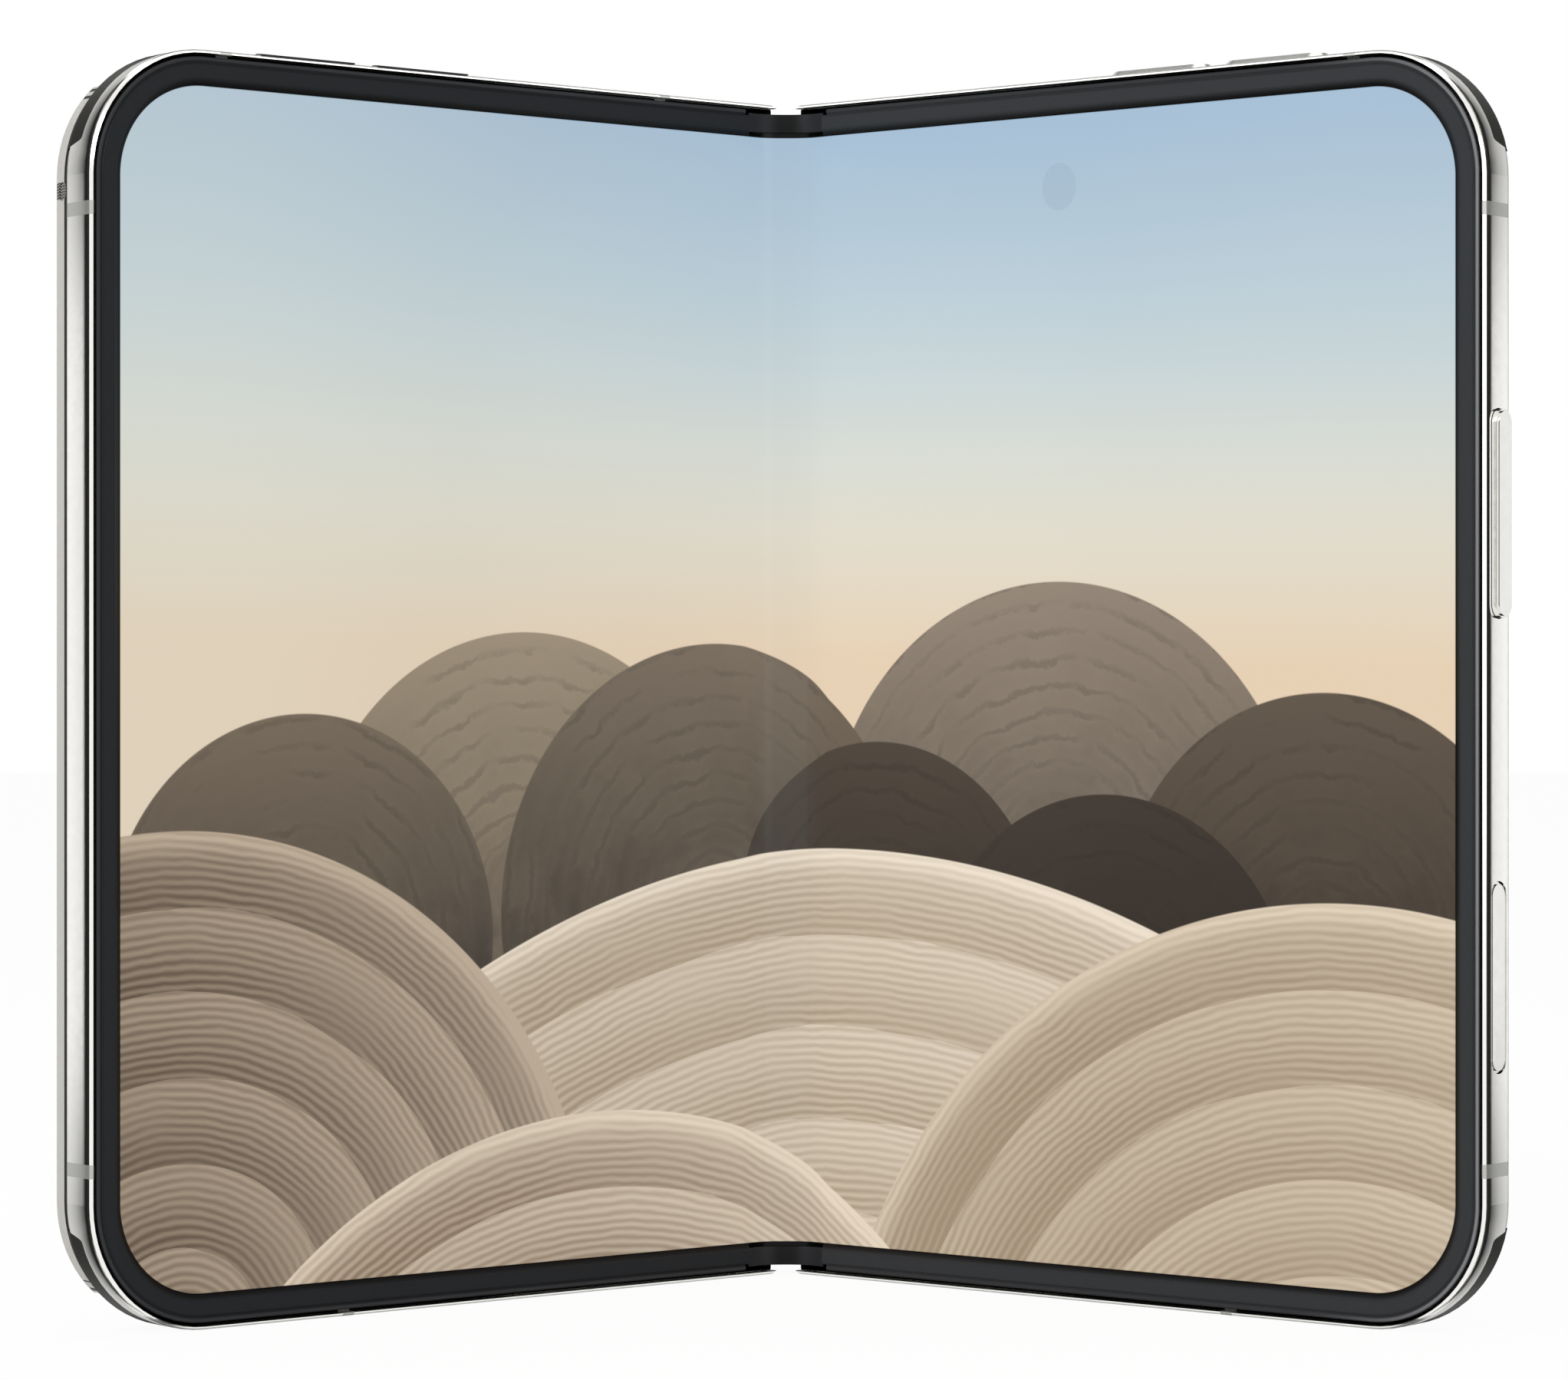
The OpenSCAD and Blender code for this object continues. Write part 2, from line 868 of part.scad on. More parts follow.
// A gear along the fold, turned so that a tooth or a gap points at its neighbour
module gear(x, len, phase) {
    translate([x, gear_y + len, -axis_depth])
        rotate([90, 0, 0])
            linear_extrude(height = len)
                rotate(phase)
                    gear_outline();
}

module idler(side, phase) {
    gear(side * idler_x, gear_w, phase);
    rod(side * idler_x, -axis_depth, 0.2, idler_wall_y + idler_wall_len - 0.4, shaft_r);
}

module lower_unit() {
    translate([0, hinge_inset, 0])
        children();
}

module upper_unit() {
    translate([0, body_h - hinge_inset, 0])
        mirror([0, 1, 0])
            children();
}

module idler_gear_lower_left() {
    color("goldenrod")
        stand_spine()
            lower_unit()
                idler(-1, half_tooth);
}

module idler_gear_lower_right() {
    color("goldenrod")
        stand_spine()
            lower_unit()
                idler(1, 0);
}

module idler_gear_upper_left() {
    color("goldenrod")
        stand_spine()
            upper_unit()
                idler(-1, half_tooth);
}

module idler_gear_upper_right() {
    color("goldenrod")
        stand_spine()
            upper_unit()
                idler(1, 0);
}

// An arm turns with its half: its gear, its barrel on the shaft and its plate are one piece.
// The gear is a little longer than the idlers, so the barrel passes beside them
module hinge_arm(phase) {
    plate_z = midplate_z - arm_t;
    barrel_y = arm_y + gear_side_gap;
    plate_y = arm_y + 0.4;
    wide_y = arm_y - arm_flare;
    difference() {
        union() {
            gear(axis_x, gear_w + gear_side_gap, phase);
            rod(axis_x, -axis_depth, barrel_y - tiny, arm_y + arm_len - barrel_y, barrel_r);
            translate([axis_x, plate_y, plate_z])
                cube([arm_reach - axis_x, arm_y + arm_len - plate_y, arm_t]);
            translate([knuckle_w + 0.3, wide_y, plate_z])
                cube([arm_reach - knuckle_w - 0.3, arm_y + arm_len - wide_y, arm_t]);
        }
        rod(axis_x, -axis_depth, -1, unit_len, shaft_r);
        arm_screw_places()
            cylinder(h = 3, r = screw_r, center = true);
    }
}

module arm_screw_places() {
    for (y = [arm_y - 1, arm_y + arm_len - 1.2])
        translate([arm_reach - 1.6, y, midplate_z - arm_t / 2])
            children();
}

// The gears are turned back by the fold angle, so that they mesh when the halves stand folded
module right_hinge_arms() {
    color("lightslategray")
        stand_right()
            both_units()
                hinge_arm(half_tooth - fold);
}

module left_hinge_arms() {
    color("lightslategray")
        stand_left()
            both_units()
                hinge_arm(-fold);
}

module hinge_shaft() {
    rod(axis_x, -axis_depth, 0.2, unit_len - 0.2, shaft_r);
    rod(axis_x, -axis_depth, washer_end, nut_len, shaft_r + 0.4);
}

module left_hinge_shafts() {
    color("dimgray")
        stand_left()
            both_units()
                hinge_shaft();
}

module right_hinge_shafts() {
    color("dimgray")
        stand_right()
            both_units()
                hinge_shaft();
}

// Dished washers, set in turn, that give the hinge its friction
module friction_washers() {
    rim_r = shaft_r + 0.65;
    for (i = [0 : washers - 1])
        translate([axis_x, washer_y + i * washer_pitch, -axis_depth])
            rotate([-90, 0, 0])
                mirror([0, 0, i % 2])
                    translate([0, 0, (i % 2) * -(washer_t + washer_dish)])
                        difference() {
                            union() {
                                cylinder(h = washer_t, r = rim_r);
                                translate([0, 0, washer_t])
                                    cylinder(h = washer_dish, r1 = rim_r, r2 = shaft_r + 0.3);
                            }
                            translate([0, 0, -1])
                                cylinder(h = 3, r = shaft_r);
                            translate([0, 0, -tiny])
                                cylinder(h = washer_dish, r1 = rim_r - 0.1, r2 = shaft_r);
                        }
}

module left_friction_washers() {
    color("gray")
        stand_left()
            both_units()
                friction_washers();
}

module right_friction_washers() {
    color("gray")
        stand_right()
            both_units()
                friction_washers();
}

module arm_screws() {
    both_units()
        arm_screw_places() {
            translate([0, 0, -arm_t / 2])
                cylinder(h = arm_t + midplate_t - 0.1, r = screw_r);
            translate([0, 0, -arm_t / 2 - 0.35])
                cylinder(h = 0.35, r = screw_r * 1.8);
        }
}

module left_arm_screws() {
    color("dimgray")
        stand_left()
            arm_screws();
}

module right_arm_screws() {
    color("dimgray")
        stand_right()
            arm_screws();
}

// ---- Inside the halves ----

module midplate() {
    inset = frame_wall + fit;
    difference() {
        half_plate(inset, knuckle_w + 0.2, midplate_z, midplate_t);
        both_units()
            arm_screw_places()
                cylinder(h = 3, r = screw_r, center = true);
        for (y = [cable_y, body_h - cable_y - cable_w])
            rounded_box(knuckle_w + 1.2, y, midplate_z - 1, 3, cable_w, 3, 1);
        for (y = [body_h * 0.22, body_h * 0.72])
            rounded_box(half_w - 12, y, midplate_z - 1, 6, 8, 3, 1.5);
    }
}

module left_midplate() {
    notch_w = port_w + 1.4;
    color("lightgray")
        stand_left()
            difference() {
                midplate();
                translate([port_x - notch_w / 2, 0, midplate_z - 1])
                    cube([notch_w, frame_wall + port_len + 0.4, 3]);
            }
}

// Room behind a button for its flange and its travel
module button_room(x, y, w, h) {
    translate([x - w / 2, y - h / 2, midplate_z - 1])
        cube([w, h, 3]);
}

module right_midplate() {
    color("lightgray")
        stand_right()
            difference() {
                midplate();
                translate([under_camera_x, body_h - under_camera_y, midplate_z - 1])
                    cylinder(h = 3, r = under_camera_d / 2);
                button_room(half_w - frame_wall, power_y, button_room_d, power_len + 1.4);
                button_room(half_w - frame_wall, control_y, button_room_d, control_len + 1.4);
                for (x = [volume_x, volume_x + volume_pitch])
                    button_room(x, body_h - frame_wall, volume_len + 1.4, button_room_d);
            }
}

// A pouch cell with its protection board along one end
module battery(w, y, h, t) {
    rounded_box(battery_x, y, midplate_z - t, w, h, t, 1.2);
    rounded_box(battery_x + 4, y + h - tiny, midplate_z - t * 0.7, w - 8, 3.2, t * 0.5, 0.5);
}

module left_battery() {
    color("darkslategray")
        stand_left()
            battery(left_battery_w, 14, body_h - 31, room);
}

module right_battery() {
    color("darkslategray")
        stand_right()
            battery(right_battery_w, 14, body_h - 40, right_room);
}

module shield(x, y, w, h, t) {
    rounded_box(x, y, midplate_z - board_t - t, w, h, t + tiny, 0.6);
}

module left_board() {
    board_w = half_w - frame_wall - 1.5 - board_x;
    board_y = body_h * 0.28;
    board_h = body_h * 0.6;
    room_half = camera_half + 0.4;
    color("seagreen")
        stand_left()
            difference() {
                union() {
                    rounded_box(board_x, board_y, midplate_z - board_t, board_w, board_h, board_t, 2);
                    shield(board_x + 2, board_y + board_h * 0.06, board_w - 8, board_h * 0.25,
                        room - board_t - 0.2);
                    shield(board_x + 2, board_y + board_h * 0.77, board_w - 11, board_h * 0.18,
                        room - board_t - 0.2);
                }
                rounded_box(lens_x - room_half, lens_y - room_half, midplate_z - 3,
                    2 * room_half, 2 * room_half, 4, 1);
            }
}

module main_board() {
    board_from = battery_x + right_battery_w + 2;
    board_w = half_w - frame_wall - 3.2 - board_from;
    board_y = body_h * 0.166;
    board_h = body_h * 0.68;
    chip_t = right_room - board_t - 0.1;
    color("seagreen")
        stand_right() {
            rounded_box(board_from, board_y, midplate_z - board_t, board_w, board_h, board_t, 2);
            shield(board_from + 2, board_y + board_h * 0.05, board_w - 5, board_h * 0.32, chip_t);
            shield(board_from + 2, board_y + board_h * 0.4, board_w - 5, board_h * 0.24, chip_t);
            shield(board_from + 2, board_y + board_h * 0.68, board_w - 9, board_h * 0.27, chip_t * 0.8);
        }
}

module magnets(places, len) {
    for (y = places)
        rounded_box(half_w - frame_wall - magnet_w - 0.2, y, midplate_z - magnet_t, magnet_w, len,
            magnet_t, 0.3);
}

module left_magnets() {
    color("silver")
        stand_left()
            magnets([body_h / 6, body_h * 0.28, body_h * 0.4, lens_y + camera_half + 3.6],
                body_h / 12);
}

module right_magnets() {
    color("silver")
        stand_right()
            magnets([control_y + control_len / 2 + 3.6, power_y + power_len / 2 + 13],
                body_h / 20);
}

// ---- Rear of both halves ----

// The part of a corner pad that the trim carries up the side
module pad_section() {
    polygon(concat(
        [[0, -body_t + pad_h], [pad_d, -body_t + pad_h], [pad_d, -body_t]],
        rear_edge(body_t)));
}

module rear_trim() {
    difference() {
        half_plate(trim_out, frame_end, -body_t, cover_t);
        half_plate(trim_in, frame_end - 1, -body_t - 1, cover_t + 2);
        end_rounding();
    }
    corner_pads()
        pad_section();
}

module left_rear_trim() {
    color("#55564f")
        stand_left()
            rear_trim();
}

module right_rear_trim() {
    color("#55564f")
        stand_right()
            rear_trim();
}

module left_rear_cover() {
    color("whitesmoke")
        stand_left()
            difference() {
                half_plate(trim_in, knuckle_w + fit, -body_t, cover_t);
                translate([lens_x, lens_y, -body_t - 1])
                    cylinder(h = cover_t + 2, r = lens_d / 2 - 1.4);
            }
}

// Outline of the deck, drawn in by the given amount
module deck_plan(in) {
    intersection() {
        half_plan(deck_inset + in, deck_from + in);
        translate([deck_from + in, deck_end + in])
            rounded_rect(2 * deck_w, body_h - 2 * (deck_end + in), deck_corner_r - in);
    }
}

// A slab on the rear whose rear edges are rounded in steps
module deck_body() {
    steps = 4;
    translate([0, 0, deck_z + deck_round])
        linear_extrude(height = deck_h - deck_round)
            deck_plan(0);
    for (i = [1 : steps])
        translate([0, 0, deck_z + deck_round * (1 - sin(90 * i / steps))])
            linear_extrude(height = deck_round * sin(90 * i / steps) + tiny)
                deck_plan(deck_round * (1 - cos(90 * (i - 0.5) / steps)));
}

module camera_deck() {
    color("#c7c5c1")
        stand_left()
            difference() {
                deck_body();
                translate([lens_x, lens_y, deck_z - 1])
                    cylinder(h = deck_h + 2, r = lens_d / 2 - 1.4);
                translate([lens_x, flash_y, deck_z - 1])
                    cylinder(h = 1.8, r = flash_r);
                translate([half_w - deck_inset + 1, deck_microphone_y, -body_t - deck_h / 2])
                    rotate([0, -90, 0])
                        linear_extrude(height = 1.5)
                            rotate(90)
                                pill(1.7, 0.9);
            }
}

module camera_ring() {
    round_r = 0.45;
    color("gainsboro")
        stand_left()
            translate([lens_x, lens_y, deck_z])
                mirror([0, 0, 1])
                    rotate_extrude() {
                        translate([ring_inner_r, 0])
                            square([lens_d / 2 - ring_inner_r, lens_h - round_r]);
                        translate([ring_inner_r, 0])
                            square([lens_d / 2 - ring_inner_r - round_r, lens_h]);
                        translate([lens_d / 2 - round_r, lens_h - round_r])
                            circle(r = round_r);
                    }
}

module camera_glass() {
    color("#20242c")
        stand_left()
            translate([lens_x, lens_y, deck_z - lens_h + 0.3])
                cylinder(h = 0.6, r = ring_inner_r);
}

module camera_module() {
    barrel_top = -body_t - deck_h - lens_h + 0.95;
    color("#30343c")
        stand_left() {
            rounded_box(lens_x - camera_half, lens_y - camera_half, cover_z + 0.1,
                2 * camera_half, 2 * camera_half, midplate_z - cover_z - 0.1, 1.2);
            translate([lens_x, lens_y, barrel_top])
                cylinder(h = cover_z - barrel_top + 0.2, r = barrel_top_r);
            translate([lens_x, lens_y, barrel_top - 0.04])
                cylinder(h = 1, r = barrel_top_r - 1.8);
        }
}

module flash_window() {
    color("#f3e2c4")
        stand_left()
            translate([lens_x, flash_y, deck_z])
                cylinder(h = 0.8, r = flash_r);
}

module deck_microphone() {
    color("#3a3a3a")
        stand_left()
            translate([half_w - deck_inset - 0.1, deck_microphone_y, -body_t - deck_h / 2])
                rotate([0, -90, 0])
                    linear_extrude(height = 0.4)
                        rotate(90)
                            pill(1.7, 0.9);
}

// A socket with its tongue, in the bottom edge
module charging_port() {
    shell = 0.2;
    color("silver")
        stand_left()
            translate([port_x, frame_wall, button_z])
                rotate([-90, 0, 0]) {
                    difference() {
                        linear_extrude(height = port_len)
                            pill(port_w + 2 * shell, port_h + 2 * shell * 0.7);
                        translate([0, 0, -1])
                            linear_extrude(height = port_len)
                                pill(port_w, port_h);
                    }
                    translate([-3.3, -0.35, 0.6])
                        cube([6.6, 0.7, port_len - 1]);
                }
}

module loudspeaker() {
    box_x = speaker_x - 0.6;
    box_y = frame_wall + 2;
    box_w = half_w - corner_r * 0.7 - box_x;
    color("#26282a")
        stand_left() {
            rounded_box(box_x, box_y, midplate_z - room + 0.2,
                box_w, body_h * 0.108 - box_y, room - 0.2, 1.5);
            translate([speaker_x - sound_pitch / 2, frame_wall, button_z - 0.9])
                cube([4 * sound_pitch, 2.2, 1.8]);
        }
}

module cover_glass() {
    color("#15171b")
        stand_right()
            half_plate(trim_in, knuckle_w + fit, -body_t, cover_t);
}

module cover_display() {
    color("#1c2430")
        stand_right()
            difference() {
                half_plate(frame_wall + 1.2, knuckle_w + 1.5, cover_z, cover_panel_t);
                translate([cover_camera_x, body_h - cover_camera_y, cover_z - 1])
                    cylinder(h = cover_panel_t + 2, r = 2.2);
            }
}

module cover_camera() {
    color("#101216")
        stand_right()
            translate([cover_camera_x, body_h - cover_camera_y, cover_z]) {
                cylinder(h = 0.9, r = 1.9);
                translate([0, 0, 0.8])
                    cylinder(h = right_room + cover_panel_t - 0.9, r = 3);
            }
}

module under_display_camera() {
    color("#101216")
        stand_right()
            translate([under_camera_x, body_h - under_camera_y, midplate_z]) {
                translate([0, 0, -0.2])
                    cylinder(h = midplate_t + display_t - 0.05, r = under_camera_d / 2 - 0.2);
                translate([0, 0, -right_room + 0.2])
                    cylinder(h = right_room - 0.2, r = 3.2);
            }
}

module earpiece() {
    color("#26282a")
        stand_right()
            rounded_box(half_w * 0.62, body_h - 16.5, midplate_z - 1.6, half_w / 7, 5, 1.6, 1.2);
}

module vibration_motor() {
    color("gray")
        stand_right()
            rounded_box(battery_x + 2, frame_wall * 2, midplate_z - right_room + 0.1,
                half_w * 0.26, body_h * 0.058, right_room - 0.1, 1);
}

// ---- Buttons ----

// A button seen from its outside: pill cap with a bevelled rim, flange behind the wall
module button(len, proud) {
    rim = 0.2;
    shank = frame_wall + button_travel + button_gap_in + proud - rim;
    linear_extrude(height = shank)
        pill(len, button_w);
    translate([0, 0, shank - tiny])
        linear_extrude(height = rim + tiny)
            pill(len - 2 * rim, button_w - 2 * rim);
    linear_extrude(height = button_travel)
        pill(len + 0.8, button_w - 0.2);
}

module side_button(y, len, proud) {
    translate([half_w - frame_wall - button_travel - button_gap_in, y, button_z])
        rotate([90, 0, 90])
            button(len, proud);
}

module top_button(x, len, proud) {
    translate([x, body_h - frame_wall - button_travel - button_gap_in, button_z])
        rotate([-90, 0, 0])
            button(len, proud);
}

module power_button() {
    color("gainsboro")
        stand_right()
            side_button(power_y, power_len, power_proud);
}

module camera_control() {
    color("gainsboro")
        stand_right()
            side_button(control_y, control_len, 0);
}

module volume_up_button() {
    color("gainsboro")
        stand_right()
            top_button(volume_x, volume_len, volume_proud);
}

module volume_down_button() {
    color("gainsboro")
        stand_right()
            top_button(volume_x + volume_pitch, volume_len, volume_proud);
}

// One switch behind each button, on the inner side of its travel
module button_switches() {
    depth = frame_wall + 2 * (button_travel + button_gap_in);
    color("darkkhaki")
        stand_right() {
            for (y = [power_y, control_y])
                translate([half_w - depth - 0.8, y - 2, button_z - 0.9])
                    cube([0.8, 4, 1.8]);
            for (x = [volume_x, volume_x + volume_pitch])
                translate([x - 2, body_h - depth - 0.8, button_z - 0.9])
                    cube([4, 0.8, 1.8]);
        }
}

spine_cover();
hinge_housings();
display_support();
spine_screws();
fold_flex_cables();
display_fold();
hinge_end_caps();
idler_gear_lower_left();
idler_gear_lower_right();
idler_gear_upper_left();
idler_gear_upper_right();
left_frame();
left_antenna_bands();
left_bezel();
left_midplate();
left_display();
left_hinge_arms();
left_hinge_shafts();
left_friction_washers();
left_arm_screws();
left_rear_trim();
left_battery();
left_board();
left_magnets();
left_rear_cover();
camera_deck();
camera_ring();
camera_glass();
camera_module();
flash_window();
deck_microphone();
charging_port();
loudspeaker();
top_edge_strips();
right_frame();
right_antenna_bands();
right_bezel();
right_midplate();
right_display();
right_hinge_arms();
right_hinge_shafts();
right_friction_washers();
right_arm_screws();
right_rear_trim();
right_battery();
main_board();
right_magnets();
cover_glass();
cover_display();
cover_camera();
under_display_camera();
earpiece();
vibration_motor();
button_switches();
power_button();
camera_control();
volume_up_button();
volume_down_button();
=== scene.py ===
import bpy, math
from mathutils import Matrix, Vector


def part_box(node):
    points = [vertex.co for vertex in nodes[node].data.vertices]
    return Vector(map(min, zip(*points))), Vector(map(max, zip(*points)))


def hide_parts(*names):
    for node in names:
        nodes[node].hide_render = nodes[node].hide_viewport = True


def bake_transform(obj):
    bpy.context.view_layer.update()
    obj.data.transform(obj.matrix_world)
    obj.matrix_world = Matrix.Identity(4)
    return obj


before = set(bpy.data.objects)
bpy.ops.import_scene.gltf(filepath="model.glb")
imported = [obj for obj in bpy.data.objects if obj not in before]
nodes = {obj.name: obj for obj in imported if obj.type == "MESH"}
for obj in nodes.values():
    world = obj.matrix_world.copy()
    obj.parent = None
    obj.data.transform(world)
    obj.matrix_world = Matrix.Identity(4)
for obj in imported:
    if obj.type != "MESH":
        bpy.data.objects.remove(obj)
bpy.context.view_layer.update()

# Sizes that the pieces share, in millimetres, as on one half lying flat:
# x runs out from the fold line, y up along it, and z is 0 at the front of the bezel.
# The fold is how far each half is folded up, in degrees.
phone = {
    "height": 120.6, "halfWidth": 83.8, "thickness": 4.8, "corner": 12.4, "fold": 38.5,
    "axisX": 2.7, "axisDepth": 2.55, "displayDepth": 0.4, "spineRadius": 1.6,
}

# The folded phone stands with its middle, from front to back, at the origin.
foldAngle = math.radians(phone["fold"])
reach = phone["halfWidth"] - phone["axisX"]
shiftY = (reach * math.sin(foldAngle) + phone["axisDepth"] * math.cos(foldAngle)
          - 2 * phone["axisDepth"] - phone["spineRadius"]) / 2


# ---- camera ----

cameraPlace = {"x": -0.00224, "y": -0.46823, "z": 0.06027, "turn": -0.00417,
               "focalPixels": 6211, "imagePixels": 2044}

bpy.ops.object.camera_add(
    location=(cameraPlace["x"], cameraPlace["y"], cameraPlace["z"]),
    rotation=(math.pi / 2, 0, cameraPlace["turn"]))
camera = bpy.context.object
camera.data.sensor_width = 36
camera.data.lens = 36 * cameraPlace["focalPixels"] / cameraPlace["imagePixels"]
camera.data.clip_start, camera.data.clip_end = 0.01, 20
bpy.context.scene.camera = camera
print("camera placed")


# ---- shader wiring ----

class Wire:  # one output of a node, which takes the usual signs
    def __init__(self, finish, socket):
        self.finish, self.socket = finish, socket

    def math(self, kind, *others):
        return self.finish.node("ShaderNodeMath", {"operation": kind}, [self, *others])

    def flipped(self, kind, other):
        return self.finish.node("ShaderNodeMath", {"operation": kind}, [other, self])

    def __add__(self, other): return self.math("ADD", other)
    def __radd__(self, other): return self.flipped("ADD", other)
    def __sub__(self, other): return self.math("SUBTRACT", other)
    def __rsub__(self, other): return self.flipped("SUBTRACT", other)
    def __mul__(self, other): return self.math("MULTIPLY", other)
    def __rmul__(self, other): return self.flipped("MULTIPLY", other)
    def __truediv__(self, other): return self.math("DIVIDE", other)
    def __pow__(self, other): return self.math("POWER", other)
    def __abs__(self): return self.math("ABSOLUTE")
    def __lt__(self, other): return self.math("LESS_THAN", other)
    def sin(self): return self.math("SINE")
    def root(self): return self.math("SQRT")
    def low(self, other): return self.math("MINIMUM", other)
    def high(self, other): return self.math("MAXIMUM", other)
    def kept(self): return self.low(1.0).high(0.0)

    def ease(self, start, end, low=0.0, high=1.0):  # a smooth step from low to high
        return self.finish.node("ShaderNodeMapRange", {"interpolation_type": "SMOOTHSTEP"},
                                [self, start, end, low, high])

    def spread(self, low=0.0, high=1.0):  # noise stretched over a range
        return self.ease(0.3, 0.7, low, high)

    def waves(self, pitch):
        return (self * (2 * math.pi / pitch)).sin()

    def near(self, middle, half, soft=0.02):  # 1 close to a value, 0 away from it
        return abs(self - middle).ease(half - soft, half + soft, 1.0, 0.0)


class Finish:  # a material or a world, and the nodes in it
    def __init__(self, name, world=False):
        self.data = bpy.data.worlds.new(name) if world else bpy.data.materials.new(name)
        self.data.use_nodes = True
        self.tree = self.data.node_tree
        self.tree.nodes.clear()
        kind = "ShaderNodeOutputWorld" if world else "ShaderNodeOutputMaterial"
        self.output = self.tree.nodes.new(kind)

    def fill(self, socket, value):
        if isinstance(value, Wire):
            self.tree.links.new(value.socket, socket)
        elif isinstance(value, (tuple, list)) and len(value) == 3 and socket.type == "RGBA":
            socket.default_value = (*value, 1)
        else:
            socket.default_value = value

    def node(self, kind, settings=None, inputs=(), out=0):
        made = self.tree.nodes.new(kind)
        for key, value in (settings or {}).items():
            if key == "stops":
                ramp = made.color_ramp
                while len(ramp.elements) < len(value):
                    ramp.elements.new(0.5)
                for element, (place, colour) in zip(ramp.elements, value):
                    element.position, element.color = place, (*colour, 1)
            else:
                setattr(made, key, value)
        pairs = inputs.items() if isinstance(inputs, dict) else enumerate(inputs)
        for key, value in pairs:
            self.fill(made.inputs[key], value)
        return Wire(self, made.outputs[out])

    def split(self, vector):
        made = self.node("ShaderNodeSeparateXYZ", None, [vector])
        return [Wire(self, socket) for socket in made.socket.node.outputs]

    def join(self, x, y, z=0.0):
        return self.node("ShaderNodeCombineXYZ", None, [x, y, z])

    def place(self):  # where a point is on its piece, in millimetres
        vector = self.node("ShaderNodeTexCoord", None, (), "Object")
        return self.node("ShaderNodeVectorMath", {"operation": "SCALE"},
                         {"Vector": vector, "Scale": 1000.0})

    def away(self, place, point):  # distance from a fixed point, in millimetres
        return self.node("ShaderNodeVectorMath", {"operation": "DISTANCE"}, [place, point], "Value")

    def noise(self, vector, scale, detail=2.0, rough=0.5):
        return self.node("ShaderNodeTexNoise", None, {
            "Vector": vector, "Scale": scale, "Detail": detail, "Roughness": rough})

    def speckles(self, place):  # the fine mottling that most surfaces have
        return self.noise(place, 9.0, 4.0, 0.6)

    def blend(self, factor, first, second):  # mixes colours, whose sockets have these numbers
        made = self.tree.nodes.new("ShaderNodeMix")
        made.data_type = "RGBA"
        for index, value in ((0, factor), (6, first), (7, second)):
            self.fill(made.inputs[index], value)
        return Wire(self, made.outputs[2])

    def bump(self, height, strength, distance, normal=None):
        inputs = {"Height": height, "Strength": strength, "Distance": distance}
        if normal is not None:
            inputs["Normal"] = normal
        return self.node("ShaderNodeBump", None, inputs)

    def surface(self, **values):  # the Principled shader; a name's underscores stand for spaces
        made = self.node("ShaderNodeBsdfPrincipled", None,
                         {key.replace("_", " "): value for key, value in values.items()})
        self.tree.links.new(made.socket, self.output.inputs["Surface"])
        return made


def tone(code):  # a colour as it is seen on a screen, turned into the light that it stands for
    parts = [int(code[i:i + 2], 16) / 255 for i in (0, 2, 4)]
    return tuple(c / 12.92 if c <= 0.04045 else ((c + 0.055) / 1.055) ** 2.4 for c in parts)


def grey(value):
    return (value, value, value)


def rounded(finish, radius):  # edges that catch the light as if they had a small radius
    return finish.node("ShaderNodeBevel", {"samples": 4}, [radius * 0.001])


# ---- studio ----

studio = {"floor": "f6f5f3", "floorWhite": 0.94, "floorSize": 6, "world": 0.6,
          "key": 3.4, "fill": 1.1, "top": 2.4}

# What polished metal mirrors: white and dark cards, as (place, brightness) from in front of the
# phone, 0, to behind it, 1. Level ones stand at its height, and the others are higher or lower.
cards = {
    "level": [(0.0, 1.0), (0.12, 1.0), (0.19, 0.015), (0.545, 0.02), (0.56, 0.5), (0.58, 0.84),
              (0.64, 0.9), (0.7, 0.94), (0.79, 1.0), (0.9, 0.97), (0.95, 1.0), (0.975, 0.12),
              (1.0, 0.08)],
    "raised": [(0.0, 1.0), (0.12, 1.0), (0.22, 0.03), (0.54, 0.01), (0.58, 0.14), (0.64, 0.28),
               (0.7, 0.43), (0.75, 0.52), (0.83, 0.65), (0.89, 0.62), (0.93, 0.5), (0.965, 0.06),
               (1.0, 0.04)],
    "high": [(0.0, 1.0), (0.36, 1.0), (0.44, 0.1), (0.76, 0.06), (0.85, 0.92), (0.93, 0.96),
             (0.965, 0.25), (1.0, 0.08)],
    "raisedFrom": (0.065, 0.115), "highFrom": (0.66, 0.8), "leanFrom": 0.3, "lean": 0.45,
}


def rayKinds(finish):  # the camera's own rays, reflected ones and those through glass
    return [finish.node("ShaderNodeLightPath", None, (), f"Is {kind} Ray")
            for kind in ("Camera", "Glossy", "Transmission")]


